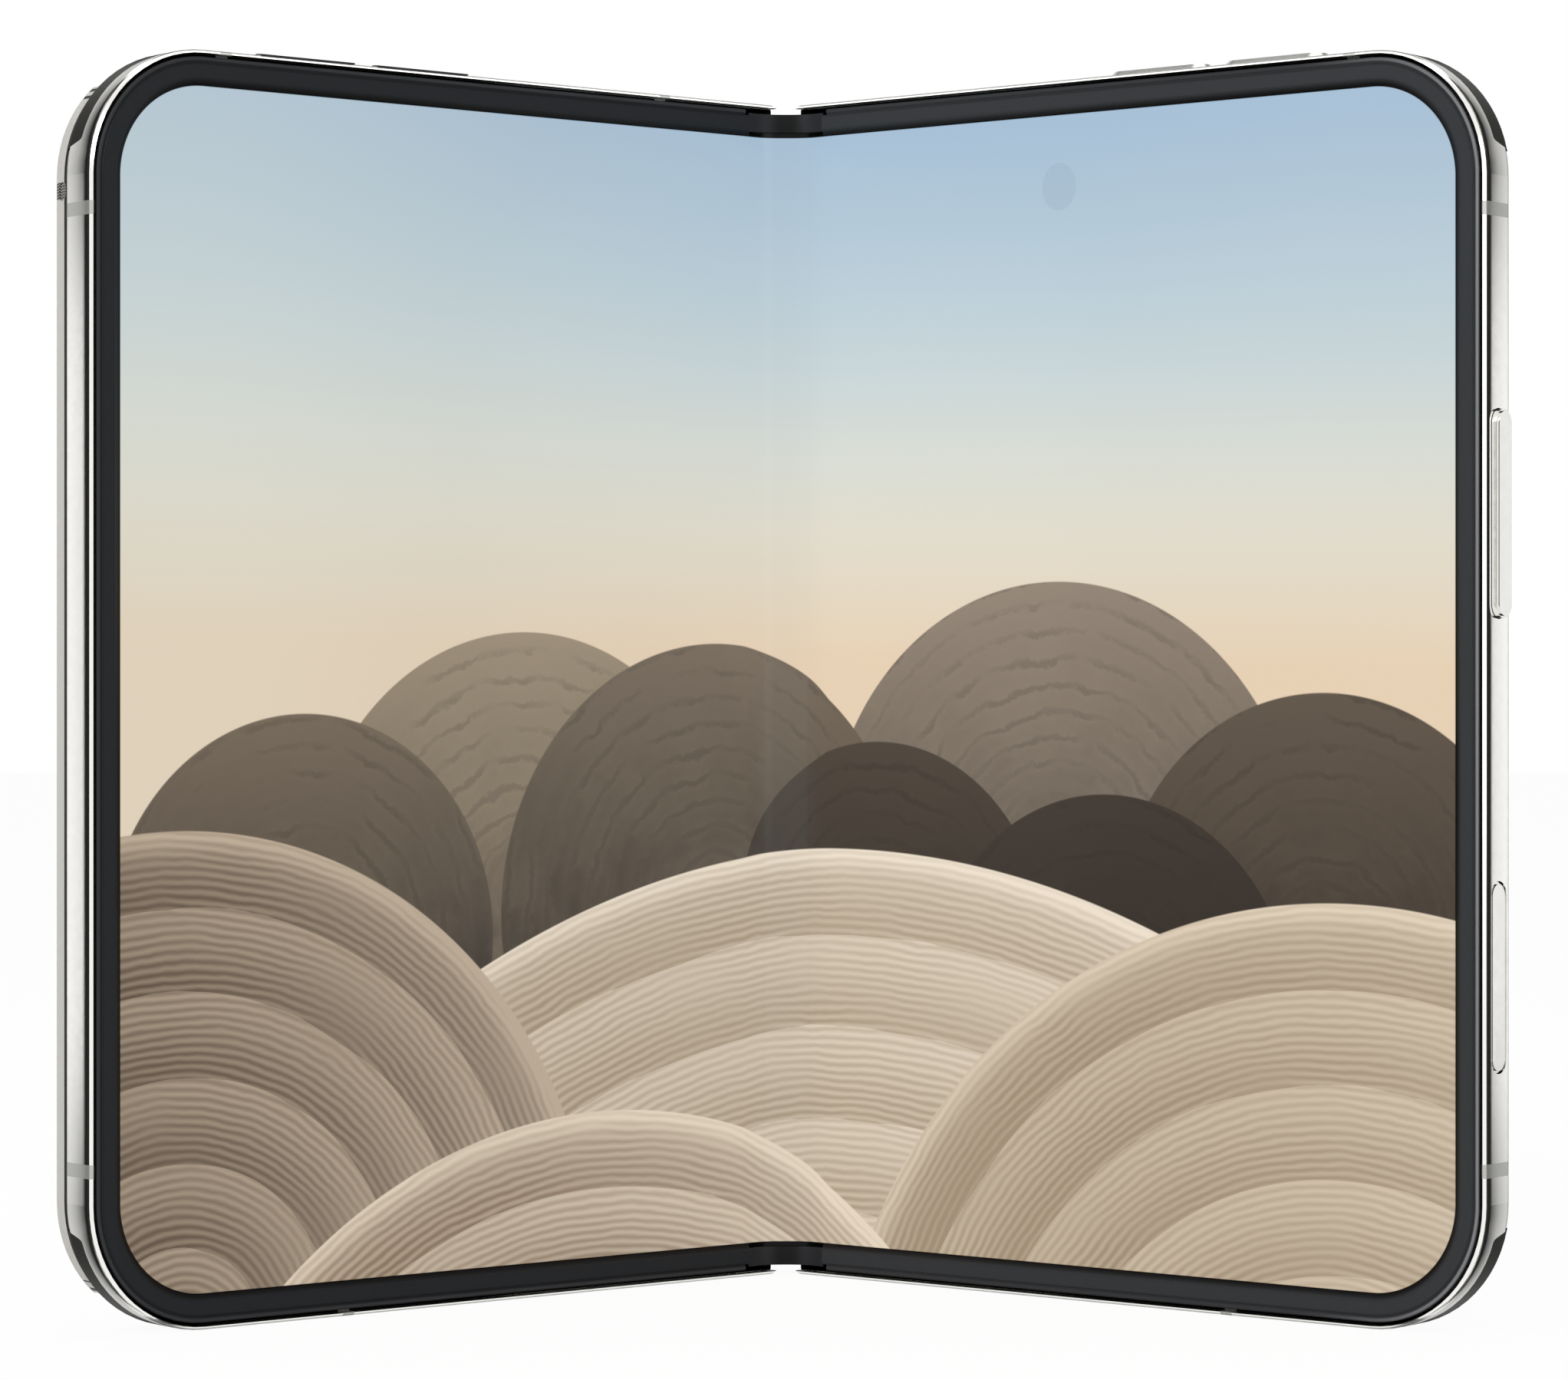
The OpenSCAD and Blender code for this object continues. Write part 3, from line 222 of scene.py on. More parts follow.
def makeWorld():
    world = Finish("studioWorld", world=True)
    seen, glossy, through = rayKinds(world)
    direction = world.node("ShaderNodeTexCoord", None, (), "Generated")
    x, y, z = world.split(direction)
    lift = abs(z)
    forward = y / (x * x + y * y).root().high(0.001)  # -1 towards the viewer, 1 away
    turn = forward * 0.5 + 0.5

    def cardsAt(height, place):
        stops = [(p, grey(brightness)) for p, brightness in cards[height]]
        return world.node("ShaderNodeValToRGB", {"stops": stops}, [place])

    level = cardsAt("level", turn)
    raised = cardsAt("raised", turn - (lift - cards["leanFrom"]).high(0.0) * cards["lean"])
    high = cardsAt("high", turn)
    mirror = world.blend(lift.ease(*cards["raisedFrom"]), level, raised)
    mirror = world.blend(lift.ease(*cards["highFrom"]), mirror, high)
    plain = world.node("ShaderNodeBackground", None, [grey(1.0), studio["world"]])
    white = world.node("ShaderNodeBackground", None, [grey(1.0), 1.0])
    mirrored = world.node("ShaderNodeBackground", None, [mirror, 1.0])
    lit = world.node("ShaderNodeMixShader", None, [glossy, plain, mirrored])
    shown = world.node("ShaderNodeMixShader", None, [seen.high(through), lit, white])
    world.tree.links.new(shown.socket, world.output.inputs["Surface"])
    bpy.context.scene.world = world.data


def addLamp(name, place, size, power, target=(0, 0, 0.06)):
    bpy.ops.object.light_add(type="AREA", location=place)
    lamp = bpy.context.object
    lamp.name = name
    lamp.data.shape, lamp.data.size, lamp.data.size_y = "RECTANGLE", *size
    lamp.data.energy = power
    lamp.rotation_euler = (Vector(target) - Vector(place)).to_track_quat("-Z", "Y").to_euler()


def makeStudio():
    makeWorld()
    addLamp("keyLamp", (-0.55, -0.75, 0.6), (0.5, 0.5), studio["key"])
    addLamp("fillLamp", (0.6, -0.8, 0.3), (0.6, 0.6), studio["fill"])
    addLamp("topLamp", (0, 0.1, 0.9), (0.8, 0.8), studio["top"])
    bpy.ops.mesh.primitive_plane_add(size=studio["floorSize"], location=(0, 0, 0))
    floor = bpy.context.object
    floor.name = "floor"
    paint = Finish("paleFloor")
    plain = paint.node("ShaderNodeBsdfDiffuse", None, [tone(studio["floor"])])
    white = paint.node("ShaderNodeEmission", None, [grey(1.0), 1.0])
    seen, glossy, through = rayKinds(paint)
    share = seen.high(through) * studio["floorWhite"]
    mixed = paint.node("ShaderNodeMixShader", None, [share, plain, white])
    # polished metal sees the studio's cards below it too, mirrored, and not the bare floor
    clear = paint.node("ShaderNodeBsdfTransparent", None, [grey(1.0)])
    mixed = paint.node("ShaderNodeMixShader", None, [glossy, mixed, clear])
    paint.tree.links.new(mixed.socket, paint.output.inputs["Surface"])
    floor.data.materials.append(paint.data)
    bpy.context.scene.view_settings.view_transform = "Standard"


makeStudio()
print("studio lit")


# ---- finishes ----

def depthInto(finish, place):  # distance behind the front of the bezel, on either half, in mm
    x, y, z = finish.split(place)
    return ((abs(x) - phone["axisX"]) * math.sin(foldAngle)
            + (y - phone["axisDepth"] - shiftY) * math.cos(foldAngle) + phone["axisDepth"])


def outFromFold(finish, place):  # distance out from the fold line, on either half, in mm
    x, y, z = finish.split(place)
    return ((abs(x) - phone["axisX"]) * math.cos(foldAngle)
            - (y - phone["axisDepth"] - shiftY) * math.sin(foldAngle) + phone["axisX"])


def inFromOutline(finish, place):  # distance in from the outline of the phone lying open, in mm
    x, y, z = finish.split(place)
    radius = phone["corner"]
    out = (outFromFold(finish, place) - (phone["halfWidth"] - radius)).high(0.0)
    up = (abs(z - phone["height"] / 2) - (phone["height"] / 2 - radius)).high(0.0)
    return radius - (out * out + up * up).root()


# The band across its thickness: places in mm from its front, and how strongly it rolls over there
steel = {"crown": 0.3, "roll": 0.2, "rollFrom": 0.975, "chamfer": 0.3, "rimFrom": 0.235,
         "rim": 6.0, "rearFrom": 4.1, "rear": 0.78, "lip": 0.37, "edge": 0.1,
         "endsFrom": 54.0, "overFrom": 0.13, "over": 3.0}


def barrelNormal(finish, place):  # the band's barrel, and the rolls on both sides of its chamfer
    whole = depthInto(finish, place)
    depth = whole.high(steel["chamfer"])
    middle = phone["thickness"] / 2
    barrel = (1.0 - ((depth - middle) / middle) ** 2.0) * steel["crown"]
    fall = (steel["rollFrom"] - depth).high(0.0) ** 2.0 * steel["roll"]
    rim = (whole.low(steel["chamfer"]) - steel["rimFrom"]).high(0.0) ** 2.0 * steel["rim"]
    # along the top and bottom edges the chamfer rolls over sooner
    x, y, z = finish.split(place)
    ends = abs(z - phone["height"] / 2).ease(steel["endsFrom"], phone["height"] / 2)
    over = (whole.low(steel["chamfer"]) - steel["overFrom"]).high(0.0) ** 2.0 * steel["over"] * ends
    back = (depth - steel["rearFrom"]).high(0.0) ** 2.0 * steel["rear"]
    return finish.bump(barrel - fall - rim - over - back, 1.0, 0.001)


def polishedSteel(name, colour, second, barrelled=True, edge=0.0):
    finish = Finish(name)
    place = finish.place()
    normal = barrelNormal(finish, place) if barrelled else None
    if edge:
        normal = rounded(finish, edge)
    streaks = finish.noise(place, 0.9, 3.0, 0.6)
    grain = finish.noise(place, 14.0, 2.0, 0.5)
    normal = finish.bump(grain, 0.03, 0.00002, normal)
    metal = finish.blend(streaks, tone(colour), tone(second))
    if barrelled:  # painted shade: black inside the lip, in the gap around the bezel
        gapShade = inFromOutline(finish, place).ease(steel["lip"], steel["lip"] + 0.02)
        metal = finish.blend(gapShade, metal, tone("0c0c0c"))
    finish.surface(Base_Color=metal, Metallic=1.0, Roughness=streaks.spread(0.08, 0.12),
                   Normal=normal)
    return finish.data


def antennaFinish():  # a grey plastic break that the band's mirror still shows through
    finish = Finish("antennaPlastic")
    place = finish.place()
    speckle = finish.noise(place, 9.0, 3.0, 0.6)
    finish.surface(Base_Color=finish.blend(speckle, tone("bdbdb9"), tone("b2b2ae")), Metallic=0.55,
                   Roughness=speckle.spread(0.2, 0.26), Normal=barrelNormal(finish, place))
    return finish.data


# The bezel across its width, as distances in from the outline, and how light it looks, with painted
# light: the right half's leans towards the light and is painted lighter, the ridge has a painted
# highlight, and the groove and the outer side have painted shade
bezel = {"side": (0.62, 0.74), "ridge": 0.88, "ridgeHalf": 0.24, "round": 1.0, "groove": 1.3,
         "slope": (2.45, 3.25), "paintedHighlight": (48.0, 66.0),
         "faceLitAndShaded": ("292b2e", "393b3e"), "top": ("38393b", "86878a"), "dark": ("1b1c1e", "27282a")}


def bezelFinish():
    finish = Finish("bezelPlastic")
    place = finish.place()
    x, y, z = finish.split(place)
    lit, paintedHighlight = x.ease(-2.0, 2.0), x.ease(*bezel["paintedHighlight"])
    inset = inFromOutline(finish, place)
    speckle = finish.speckles(place)
    # painted light: the right half's copies of these tones are lighter, as it leans towards the
    # light
    faceLitAndShaded, dark = (finish.blend(lit, tone(left), tone(right))
                  for left, right in (bezel["faceLitAndShaded"], bezel["dark"]))
    # painted highlight for the ridge, lighter far out on the right half
    top = finish.blend(paintedHighlight, *(tone(name) for name in bezel["top"]))
    colour = finish.blend(speckle.spread() * 0.12, faceLitAndShaded, dark)
    # painted shade in the groove
    colour = finish.blend(inset.near(bezel["groove"], 0.14, 0.12) * 0.5, colour, dark)
    # the ridge takes the painted highlight
    colour = finish.blend(inset.near(bezel["ridge"], bezel["ridgeHalf"] - 0.08, 0.12), colour, top)
    # painted shade: near black down the outer side, in the gap by the frame
    colour = finish.blend(inset.ease(*bezel["side"], 1.0, 0.0), colour, tone("0d0d0e"))
    colour = finish.blend(inset.ease(*bezel["slope"]), colour, tone("0b0b0c"))
    swell = abs(inset - bezel["ridge"]).low(bezel["ridgeHalf"]) ** 2.0 * -bezel["round"]
    normal = finish.bump(swell, 1.0, 0.001)
    finish.surface(Base_Color=colour, Roughness=speckle.spread(0.34, 0.42),
                   Specular_IOR_Level=0.15, Normal=finish.bump(speckle, 0.02, 0.00004, normal))
    return finish.data


caps = {"out": 1.01, "in": 2.9, "length": 5.8, "front": 0.06, "edge": 0.14, "columns": 26,
        "shade": (0.5, 2.4)}


def capFinish():  # soft black, with painted shade over the middle, where it bends away from the light
    finish = Finish("capRubber")
    place = finish.place()
    x, y, z = finish.split(place)
    speckle = finish.speckles(place)
    colour = finish.blend(speckle.spread(), tone("2b2c2f"), tone("27282b"))
    # painted shade: near black over the middle of the cap
    colour = finish.blend(abs(x).ease(*caps["shade"], 1.0, 0.0), colour, tone("0a0b0c"))
    finish.surface(Base_Color=colour, Roughness=speckle.spread(0.44, 0.52),
                   Specular_IOR_Level=0.15, Normal=finish.bump(speckle, 0.05, 0.00004))
    return finish.data


def satinPlastic(name, colour, second, rough, edge=0.0, grain=0.05, shine=0.5):
    finish = Finish(name)
    place = finish.place()
    speckle = finish.speckles(place)
    normal = finish.bump(speckle, grain, 0.00004, rounded(finish, edge) if edge else None)
    finish.surface(
        Base_Color=finish.blend(speckle.spread(), tone(colour), tone(second)),
        Roughness=speckle.spread(rough - 0.04, rough + 0.04), Specular_IOR_Level=shine,
        Normal=normal)
    return finish.data


def satinMetal(name, colour, second, rough):
    finish = Finish(name)
    place = finish.place()
    grain = finish.noise(place, 6.0, 4.0, 0.65)
    finish.surface(
        Base_Color=finish.blend(grain.spread(), tone(colour), tone(second)), Metallic=1.0,
        Roughness=grain.spread(rough - 0.05, rough + 0.05),
        Normal=finish.bump(grain, 0.05, 0.00004))
    return finish.data


# The joints in the side of the camera deck are (height, half width), and its sound opening is
# (height, half height, depth, half width), all in mm. Their dark colour also paints shade along the
# foot of the side walls, up to the depth given as foot
deck = {"joints": [(116.7, 0.16), (115.97, 0.16), (4.72, 0.08), (3.9, 0.14)],
        "mesh": (106.95, 0.8, 6.12, 0.94), "rear": 6.75, "foot": 5.46, "edge": 0.25,
        "colour": "c6c4bf", "second": "c0beb9", "joint": "151513",
        "zigzag": 0.27, "zigzagWidth": 0.5}


def zigzags(finish, z, depth):  # the weave of the deck's sound opening
    sway = depth.waves(deck["zigzagWidth"]) * 1.5
    wave = (z * (2 * math.pi / deck["zigzag"]) + sway).sin()
    return finish.blend(wave.ease(-0.3, 0.5), tone("1d1c1a"), tone("9b9994"))


def deckFinish():
    finish = Finish("deckGlass")
    place = finish.place()
    x, y, z = finish.split(place)
    depth = depthInto(finish, place)
    side = depth.ease(deck["rear"] - 0.05, deck["rear"], 1.0, 0.0)
    line, *others = [z.near(middle, half) for middle, half in deck["joints"]]
    for mark in others:
        line = line.high(mark)
    speckle = finish.speckles(place)
    colour = finish.blend(speckle.spread(), tone(deck["colour"]), tone(deck["second"]))
    foot = depth.ease(deck["foot"] - 0.04, deck["foot"] + 0.04, 1.0, 0.0)
    # dark joints, and painted shade along the foot of the side walls, where they meet the trim
    colour = finish.blend((line * side).high(foot), colour, tone(deck["joint"]))
    middle, half, across, reachAcross = deck["mesh"]
    pill = (abs((z - middle) / half) ** 4.0 + abs((depth - across) / reachAcross) ** 4.0) < 1.0
    colour = finish.blend(pill, colour, zigzags(finish, z, depth))
    normal = finish.bump(speckle, 0.02, 0.00004, rounded(finish, deck["edge"]))
    finish.surface(Base_Color=colour, Roughness=speckle.spread(0.27, 0.33),
                   Specular_IOR_Level=0.2, Normal=normal)
    return finish.data


def middleOf(name):  # middle of a CAD piece's box, in millimetres
    low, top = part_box(name)
    return tuple((a + b) * 500 for a, b in zip(low, top))


lens = {"outer": 6.4, "iris": 3.6, "pupil": 1.7}  # radii in mm


def lensFinish(name, node, size=1.0):  # dark glass over stepped rings, with painted light and shade, painted highlights and a faint painted blue reflection in the middle
    finish = Finish(name)
    place = finish.place()
    away = finish.away(place, middleOf(node)) / size
    iris, pupil = lens["iris"], lens["pupil"]
    # painted light and shade: the rings lighter and darker in turn, as if stepped
    steps = (away * 7.0).sin() * 0.5 + 0.5
    colour = finish.blend(steps * away.ease(iris, iris + 0.1), tone("050607"), tone("1a1c20"))
    # painted highlights on the outer rim and the edge of the iris
    colour = finish.blend(away.near(lens["outer"], 0.12, 0.05), colour, tone("4a4d52"))
    colour = finish.blend(away.near(iris, 0.08, 0.04), colour, tone("33363c"))
    # a faint painted blue reflection in the middle, and painted shade deep in the pupil
    colour = finish.blend(away.ease(pupil - 0.5, iris, 1.0, 0.0) * 0.6, colour, tone("1d2440"))
    colour = finish.blend(away.ease(0.4, pupil, 1.0, 0.0) * 0.7, colour, tone("060509"))
    normal = finish.bump(finish.noise(place, 0.3), 0.05, 0.0001)
    finish.surface(Base_Color=colour, Roughness=0.04, IOR=1.6, Normal=normal)
    return finish.data


def flashFinish():  # a pale window with the fine rings of a fresnel lens, and painted shade in their grooves
    finish = Finish("flashDiffuser")
    place = finish.place()
    away = finish.away(place, middleOf("flash_window"))
    rings = away.waves(0.36)
    colour = finish.blend(away.ease(0.3, 2.2), tone("e9c08a"), tone("efe2cc"))
    # painted shade in the grooves of the fresnel rings
    colour = finish.blend(rings * 0.12 + 0.12, colour, tone("c9a878"))
    finish.surface(Base_Color=colour, Roughness=0.2, Normal=finish.bump(rings, 0.4, 0.00005))
    return finish.data


def meshFinish():  # carries the deck's weave on where the microphone fills the opening
    finish = Finish("microphoneMesh")
    place = finish.place()
    x, y, z = finish.split(place)
    depth = depthInto(finish, place)
    speckle = finish.speckles(place)
    finish.surface(Base_Color=zigzags(finish, z, depth),
                   Roughness=speckle.spread(0.27, 0.33))
    return finish.data


finishes = {
    "steel": polishedSteel("polishedSteel", "f8f7f3", "efeeea"),
    "ring": polishedSteel("ringSteel", "f3f2ee", "e9e8e4", False, steel["edge"]),
    "button": polishedSteel("buttonSteel", "f6f5f1", "ecebe7", False),
    "topButton": satinMetal("topButtonSteel", "f6f5f1", "eeede9", 0.42),
    "antenna": antennaFinish(), "bezel": bezelFinish(),
    "cap": capFinish(), "strip": satinPlastic("stripPlastic", "2a2c2e", "252729", 0.5),
    "trim": satinPlastic("trimPlastic", "1b1b13", "17170f", 0.3, 0.1, shine=0.14),
    "deck": deckFinish(),
    "rearGlass": satinPlastic("rearGlass", "d8d6d1", "d3d1cc", 0.36, 0.0, 0.02),
    "darkGlass": satinPlastic("darkGlass", "050607", "08090b", 0.06, 0.0, 0.0),
    "alloy": satinMetal("machinedAlloy", "b9bbbe", "a8abaf", 0.38),
    "spine": satinMetal("spineMetal", "cfccc6", "c6c3bd", 0.32),
    "steelPart": satinMetal("groundSteel", "8d9096", "797c82", 0.3),
    "gear": satinMetal("gearBronze", "b59a5e", "a0874f", 0.28),
    "board": satinPlastic("boardMask", "1c4a31", "173f2a", 0.35),
    "cell": satinPlastic("cellWrap", "1f2326", "1a1d20", 0.5),
    "magnet": satinMetal("magnetNickel", "b4b4b4", "a2a2a2", 0.25),
    "lens": lensFinish("lensGlass", "camera_glass"),
    "eye": lensFinish("eyeGlass", "cover_camera", 0.3),
    "flash": flashFinish(),
    "mesh": meshFinish(),
    "moulding": satinPlastic("blackMoulding", "141516", "101112", 0.35),
    "cable": satinPlastic("cableFilm", "8a5a1c", "7b4f18", 0.3),
}

nodeFinish = {
    "steel": ["left_frame", "right_frame"], "ring": ["camera_ring"],
    "button": ["power_button", "camera_control"],
    "topButton": ["volume_up_button", "volume_down_button"],
    "antenna": ["left_antenna_bands", "right_antenna_bands"],
    "bezel": ["left_bezel", "right_bezel"],
    "cap": ["hinge_end_caps"], "strip": ["top_edge_strips"],
    "trim": ["left_rear_trim", "right_rear_trim"],
    "deck": ["camera_deck"], "rearGlass": ["left_rear_cover"],
    "darkGlass": ["cover_glass", "cover_display"],
    "alloy": ["left_midplate", "right_midplate", "hinge_housings", "display_support"],
    "spine": ["spine_cover"],
    "steelPart": ["spine_screws", "left_arm_screws", "right_arm_screws", "left_hinge_shafts",
                  "right_hinge_shafts", "left_friction_washers", "right_friction_washers",
                  "left_hinge_arms", "right_hinge_arms", "vibration_motor", "charging_port"],
    "gear": ["idler_gear_lower_left", "idler_gear_lower_right", "idler_gear_upper_left",
             "idler_gear_upper_right"],
    "board": ["left_board", "main_board"], "cell": ["left_battery", "right_battery"],
    "magnet": ["left_magnets", "right_magnets"], "lens": ["camera_glass"],
    "eye": ["cover_camera"], "flash": ["flash_window"], "mesh": ["deck_microphone"],
    "cable": ["fold_flex_cables"],
    "moulding": ["camera_module", "loudspeaker", "under_display_camera", "earpiece",
                 "button_switches"],
}


def coat(piece, finish):
    piece.data.materials.clear()
    piece.data.materials.append(finish)


for key, names in nodeFinish.items():
    for name in names:
        coat(nodes[name], finishes[key])
print("CAD pieces painted")


# ---- modelling helpers ----

def deselectAll():
    if bpy.context.mode != "OBJECT":
        bpy.ops.object.mode_set(mode="OBJECT")
    bpy.ops.object.select_all(action="DESELECT")


def smooth(piece):
    deselectAll()
    piece.select_set(True)
    bpy.context.view_layer.objects.active = piece
    bpy.ops.object.shade_smooth_by_angle(angle=math.radians(40))


def slab(name, x0, x1, y0, y1, z0, z1):  # a flat block, left in edit mode, ready to be shaped
    deselectAll()
    bpy.ops.mesh.primitive_cube_add(size=1, location=((x0 + x1) / 2, (y0 + y1) / 2, (z0 + z1) / 2),
                                    scale=(x1 - x0, y1 - y0, z1 - z0))
    piece = bpy.context.object
    piece.name = piece.data.name = name
    piece.data.transform(piece.matrix_world)
    piece.matrix_world = Matrix.Identity(4)
    bpy.ops.object.mode_set(mode="EDIT")
    return piece


def cutAcross(places):  # cuts the whole piece across, where a bend needs more points
    for place in places:
        bpy.ops.mesh.select_all(action="SELECT")
        bpy.ops.mesh.bisect(plane_co=(place, 0, 0), plane_no=(1, 0, 0))


def edgesWhere(piece, test):  # selects the edges whose two ends pass the test
    bpy.ops.object.mode_set(mode="OBJECT")
    bpy.context.tool_settings.mesh_select_mode = (False, True, False)
    mesh = piece.data
    for polygon in mesh.polygons:
        polygon.select = False
    for vertex in mesh.vertices:
        vertex.select = False
    for edge in mesh.edges:
        first, second = (mesh.vertices[i].co for i in edge.vertices)
        edge.select = test(first) and test(second)
    bpy.ops.object.mode_set(mode="EDIT")


# ---- how the display bends over the spine ----

# The display is flat from flatFrom outwards. Share is how far its bend leans from a plain arc
# towards the shape that opens out quite flat.
bend = {"flatFrom": 6.6, "share": 0.28, "steps": 400, "smoothOver": 6}


def legPoint(u, depth):  # a point of the right half, seen along the fold, before it is centred
    along, down = u - phone["axisX"], depth - phone["axisDepth"]
    return (phone["axisX"] + along * math.cos(foldAngle) + down * math.sin(foldAngle),
            phone["axisDepth"] - along * math.sin(foldAngle) + down * math.cos(foldAngle))


def bendDepth(x):  # how deep the display's surface lies at a distance from the middle
    top, axisX, axisDepth = phone["displayDepth"], phone["axisX"], phone["axisDepth"]
    legX, legY = legPoint(axisX, top)
    apex = legY + legX * math.tan(foldAngle)
    radius = (apex - top) / (1 / math.cos(foldAngle) - 1)
    if x < radius * math.sin(foldAngle):
        arc = top - radius + math.sqrt(radius * radius - x * x)
    else:
        arc = apex - x * math.tan(foldAngle)
    part = min(1, x / bendReach)
    turn = part * part * (3 - 2 * part) * foldAngle
    along = (x - axisX + (axisDepth - top) * math.sin(turn)) / math.cos(turn)
    opened = axisDepth - along * math.sin(turn) - (axisDepth - top) * math.cos(turn)
    return arc + (opened - arc) * bend["share"]


bendReach = legPoint(bend["flatFrom"], phone["displayDepth"])[0]
bendLine = [(0.0, 0.0, bendDepth(0.0))]
for step in range(1, bend["steps"] + 1):
    across = bendReach * step / bend["steps"]
    depthHere = bendDepth(across)
    gone = bendLine[-1][0] + math.hypot(across - bendLine[-1][1], depthHere - bendLine[-1][2])
    bendLine.append((gone, across, depthHere))


def bendPoint(u, depth):  # where a point of the flat display goes, on the right side
    if u >= bend["flatFrom"]:
        return legPoint(u, depth)
    goal = max(0, u) / bend["flatFrom"] * bendLine[-1][0]
    index = max(1, next(i for i, row in enumerate(bendLine) if row[0] >= goal - 1e-9))
    before, after = bendLine[index - 1], bendLine[index]
    part = (goal - before[0]) / (after[0] - before[0])
    x = before[1] + part * (after[1] - before[1])
    y = before[2] + part * (after[2] - before[2])
    over = bend["smoothOver"]
    first, last = bendLine[max(0, index - over)], bendLine[min(bend["steps"], index + over - 1)]
    dx, dy = last[1] - first[1], last[2] - first[2]
    if index < over:
        dy *= index / over  # level in the middle, so that both sides meet
    size = math.hypot(dx, dy)
    below = depth - phone["displayDepth"]
    return x - dy / size * below, y + dx / size * below


def bendOver(piece, side):  # takes a flat piece over the bend and stands it up
    bpy.ops.object.mode_set(mode="OBJECT")
    for vertex in piece.data.vertices:
        x, y = bendPoint(vertex.co.x, -vertex.co.z)
        vertex.co = (side * x * 0.001, (y + shiftY) * 0.001, vertex.co.y * 0.001)
    if side < 0:
        piece.data.flip_normals()
    side * bendReach * 0.001
    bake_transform(piece)


# ---- the flexible display ----

display = {
    "inset": 2.25, "thickness": 0.5, "columns": 30, "border": 3.42, "borderCorner": 9.0,
    "glow": 0.94, "eye": (35.4, 110.1, 2.1, 2.45), "cornerSteps": 20,
}

# The picture: a sky from its foot up, and discs in front of each other, each with its middle,
# radius, light colour and dark colour, and the front ones with the width of their rings
skyTones = [
    (0.0, "edd5b7"), (0.1, "eadbc3"), (0.24, "e6e1d1"), (0.38, "dde1d9"), (0.54, "ccdadd"),
    (0.7, "bdd2de"), (0.85, "b1cadc"), (1.0, "a7c3dc"),
]
backDiscs = [
    (-34, 40, 26, "a1927c", "64594b"), (35, 42, 29, "97897a", "5a5045"),
    (-60, 36, 22, "7a6d5d", "443c34"), (-10, 38, 27, "7d7060", "40382f"),
    (66, 36, 24, "665a4d", "3b332c"), (13, 34, 21, "51473d", "2f2924"),
    (41, 28, 22, "453c34", "2c2621"),
]
frontDiscs = [
    (8, -62, 106, "f4e6d2", "a8967d", 9.5), (-74, -2, 49, "c2b09a", "5a4a3c", 8.0),
    (68, -22, 62, "e8d7c0", "a5927a", 9.0), (-24, -40, 58, "ebdbc5", "8f7b65", 8.5),
]


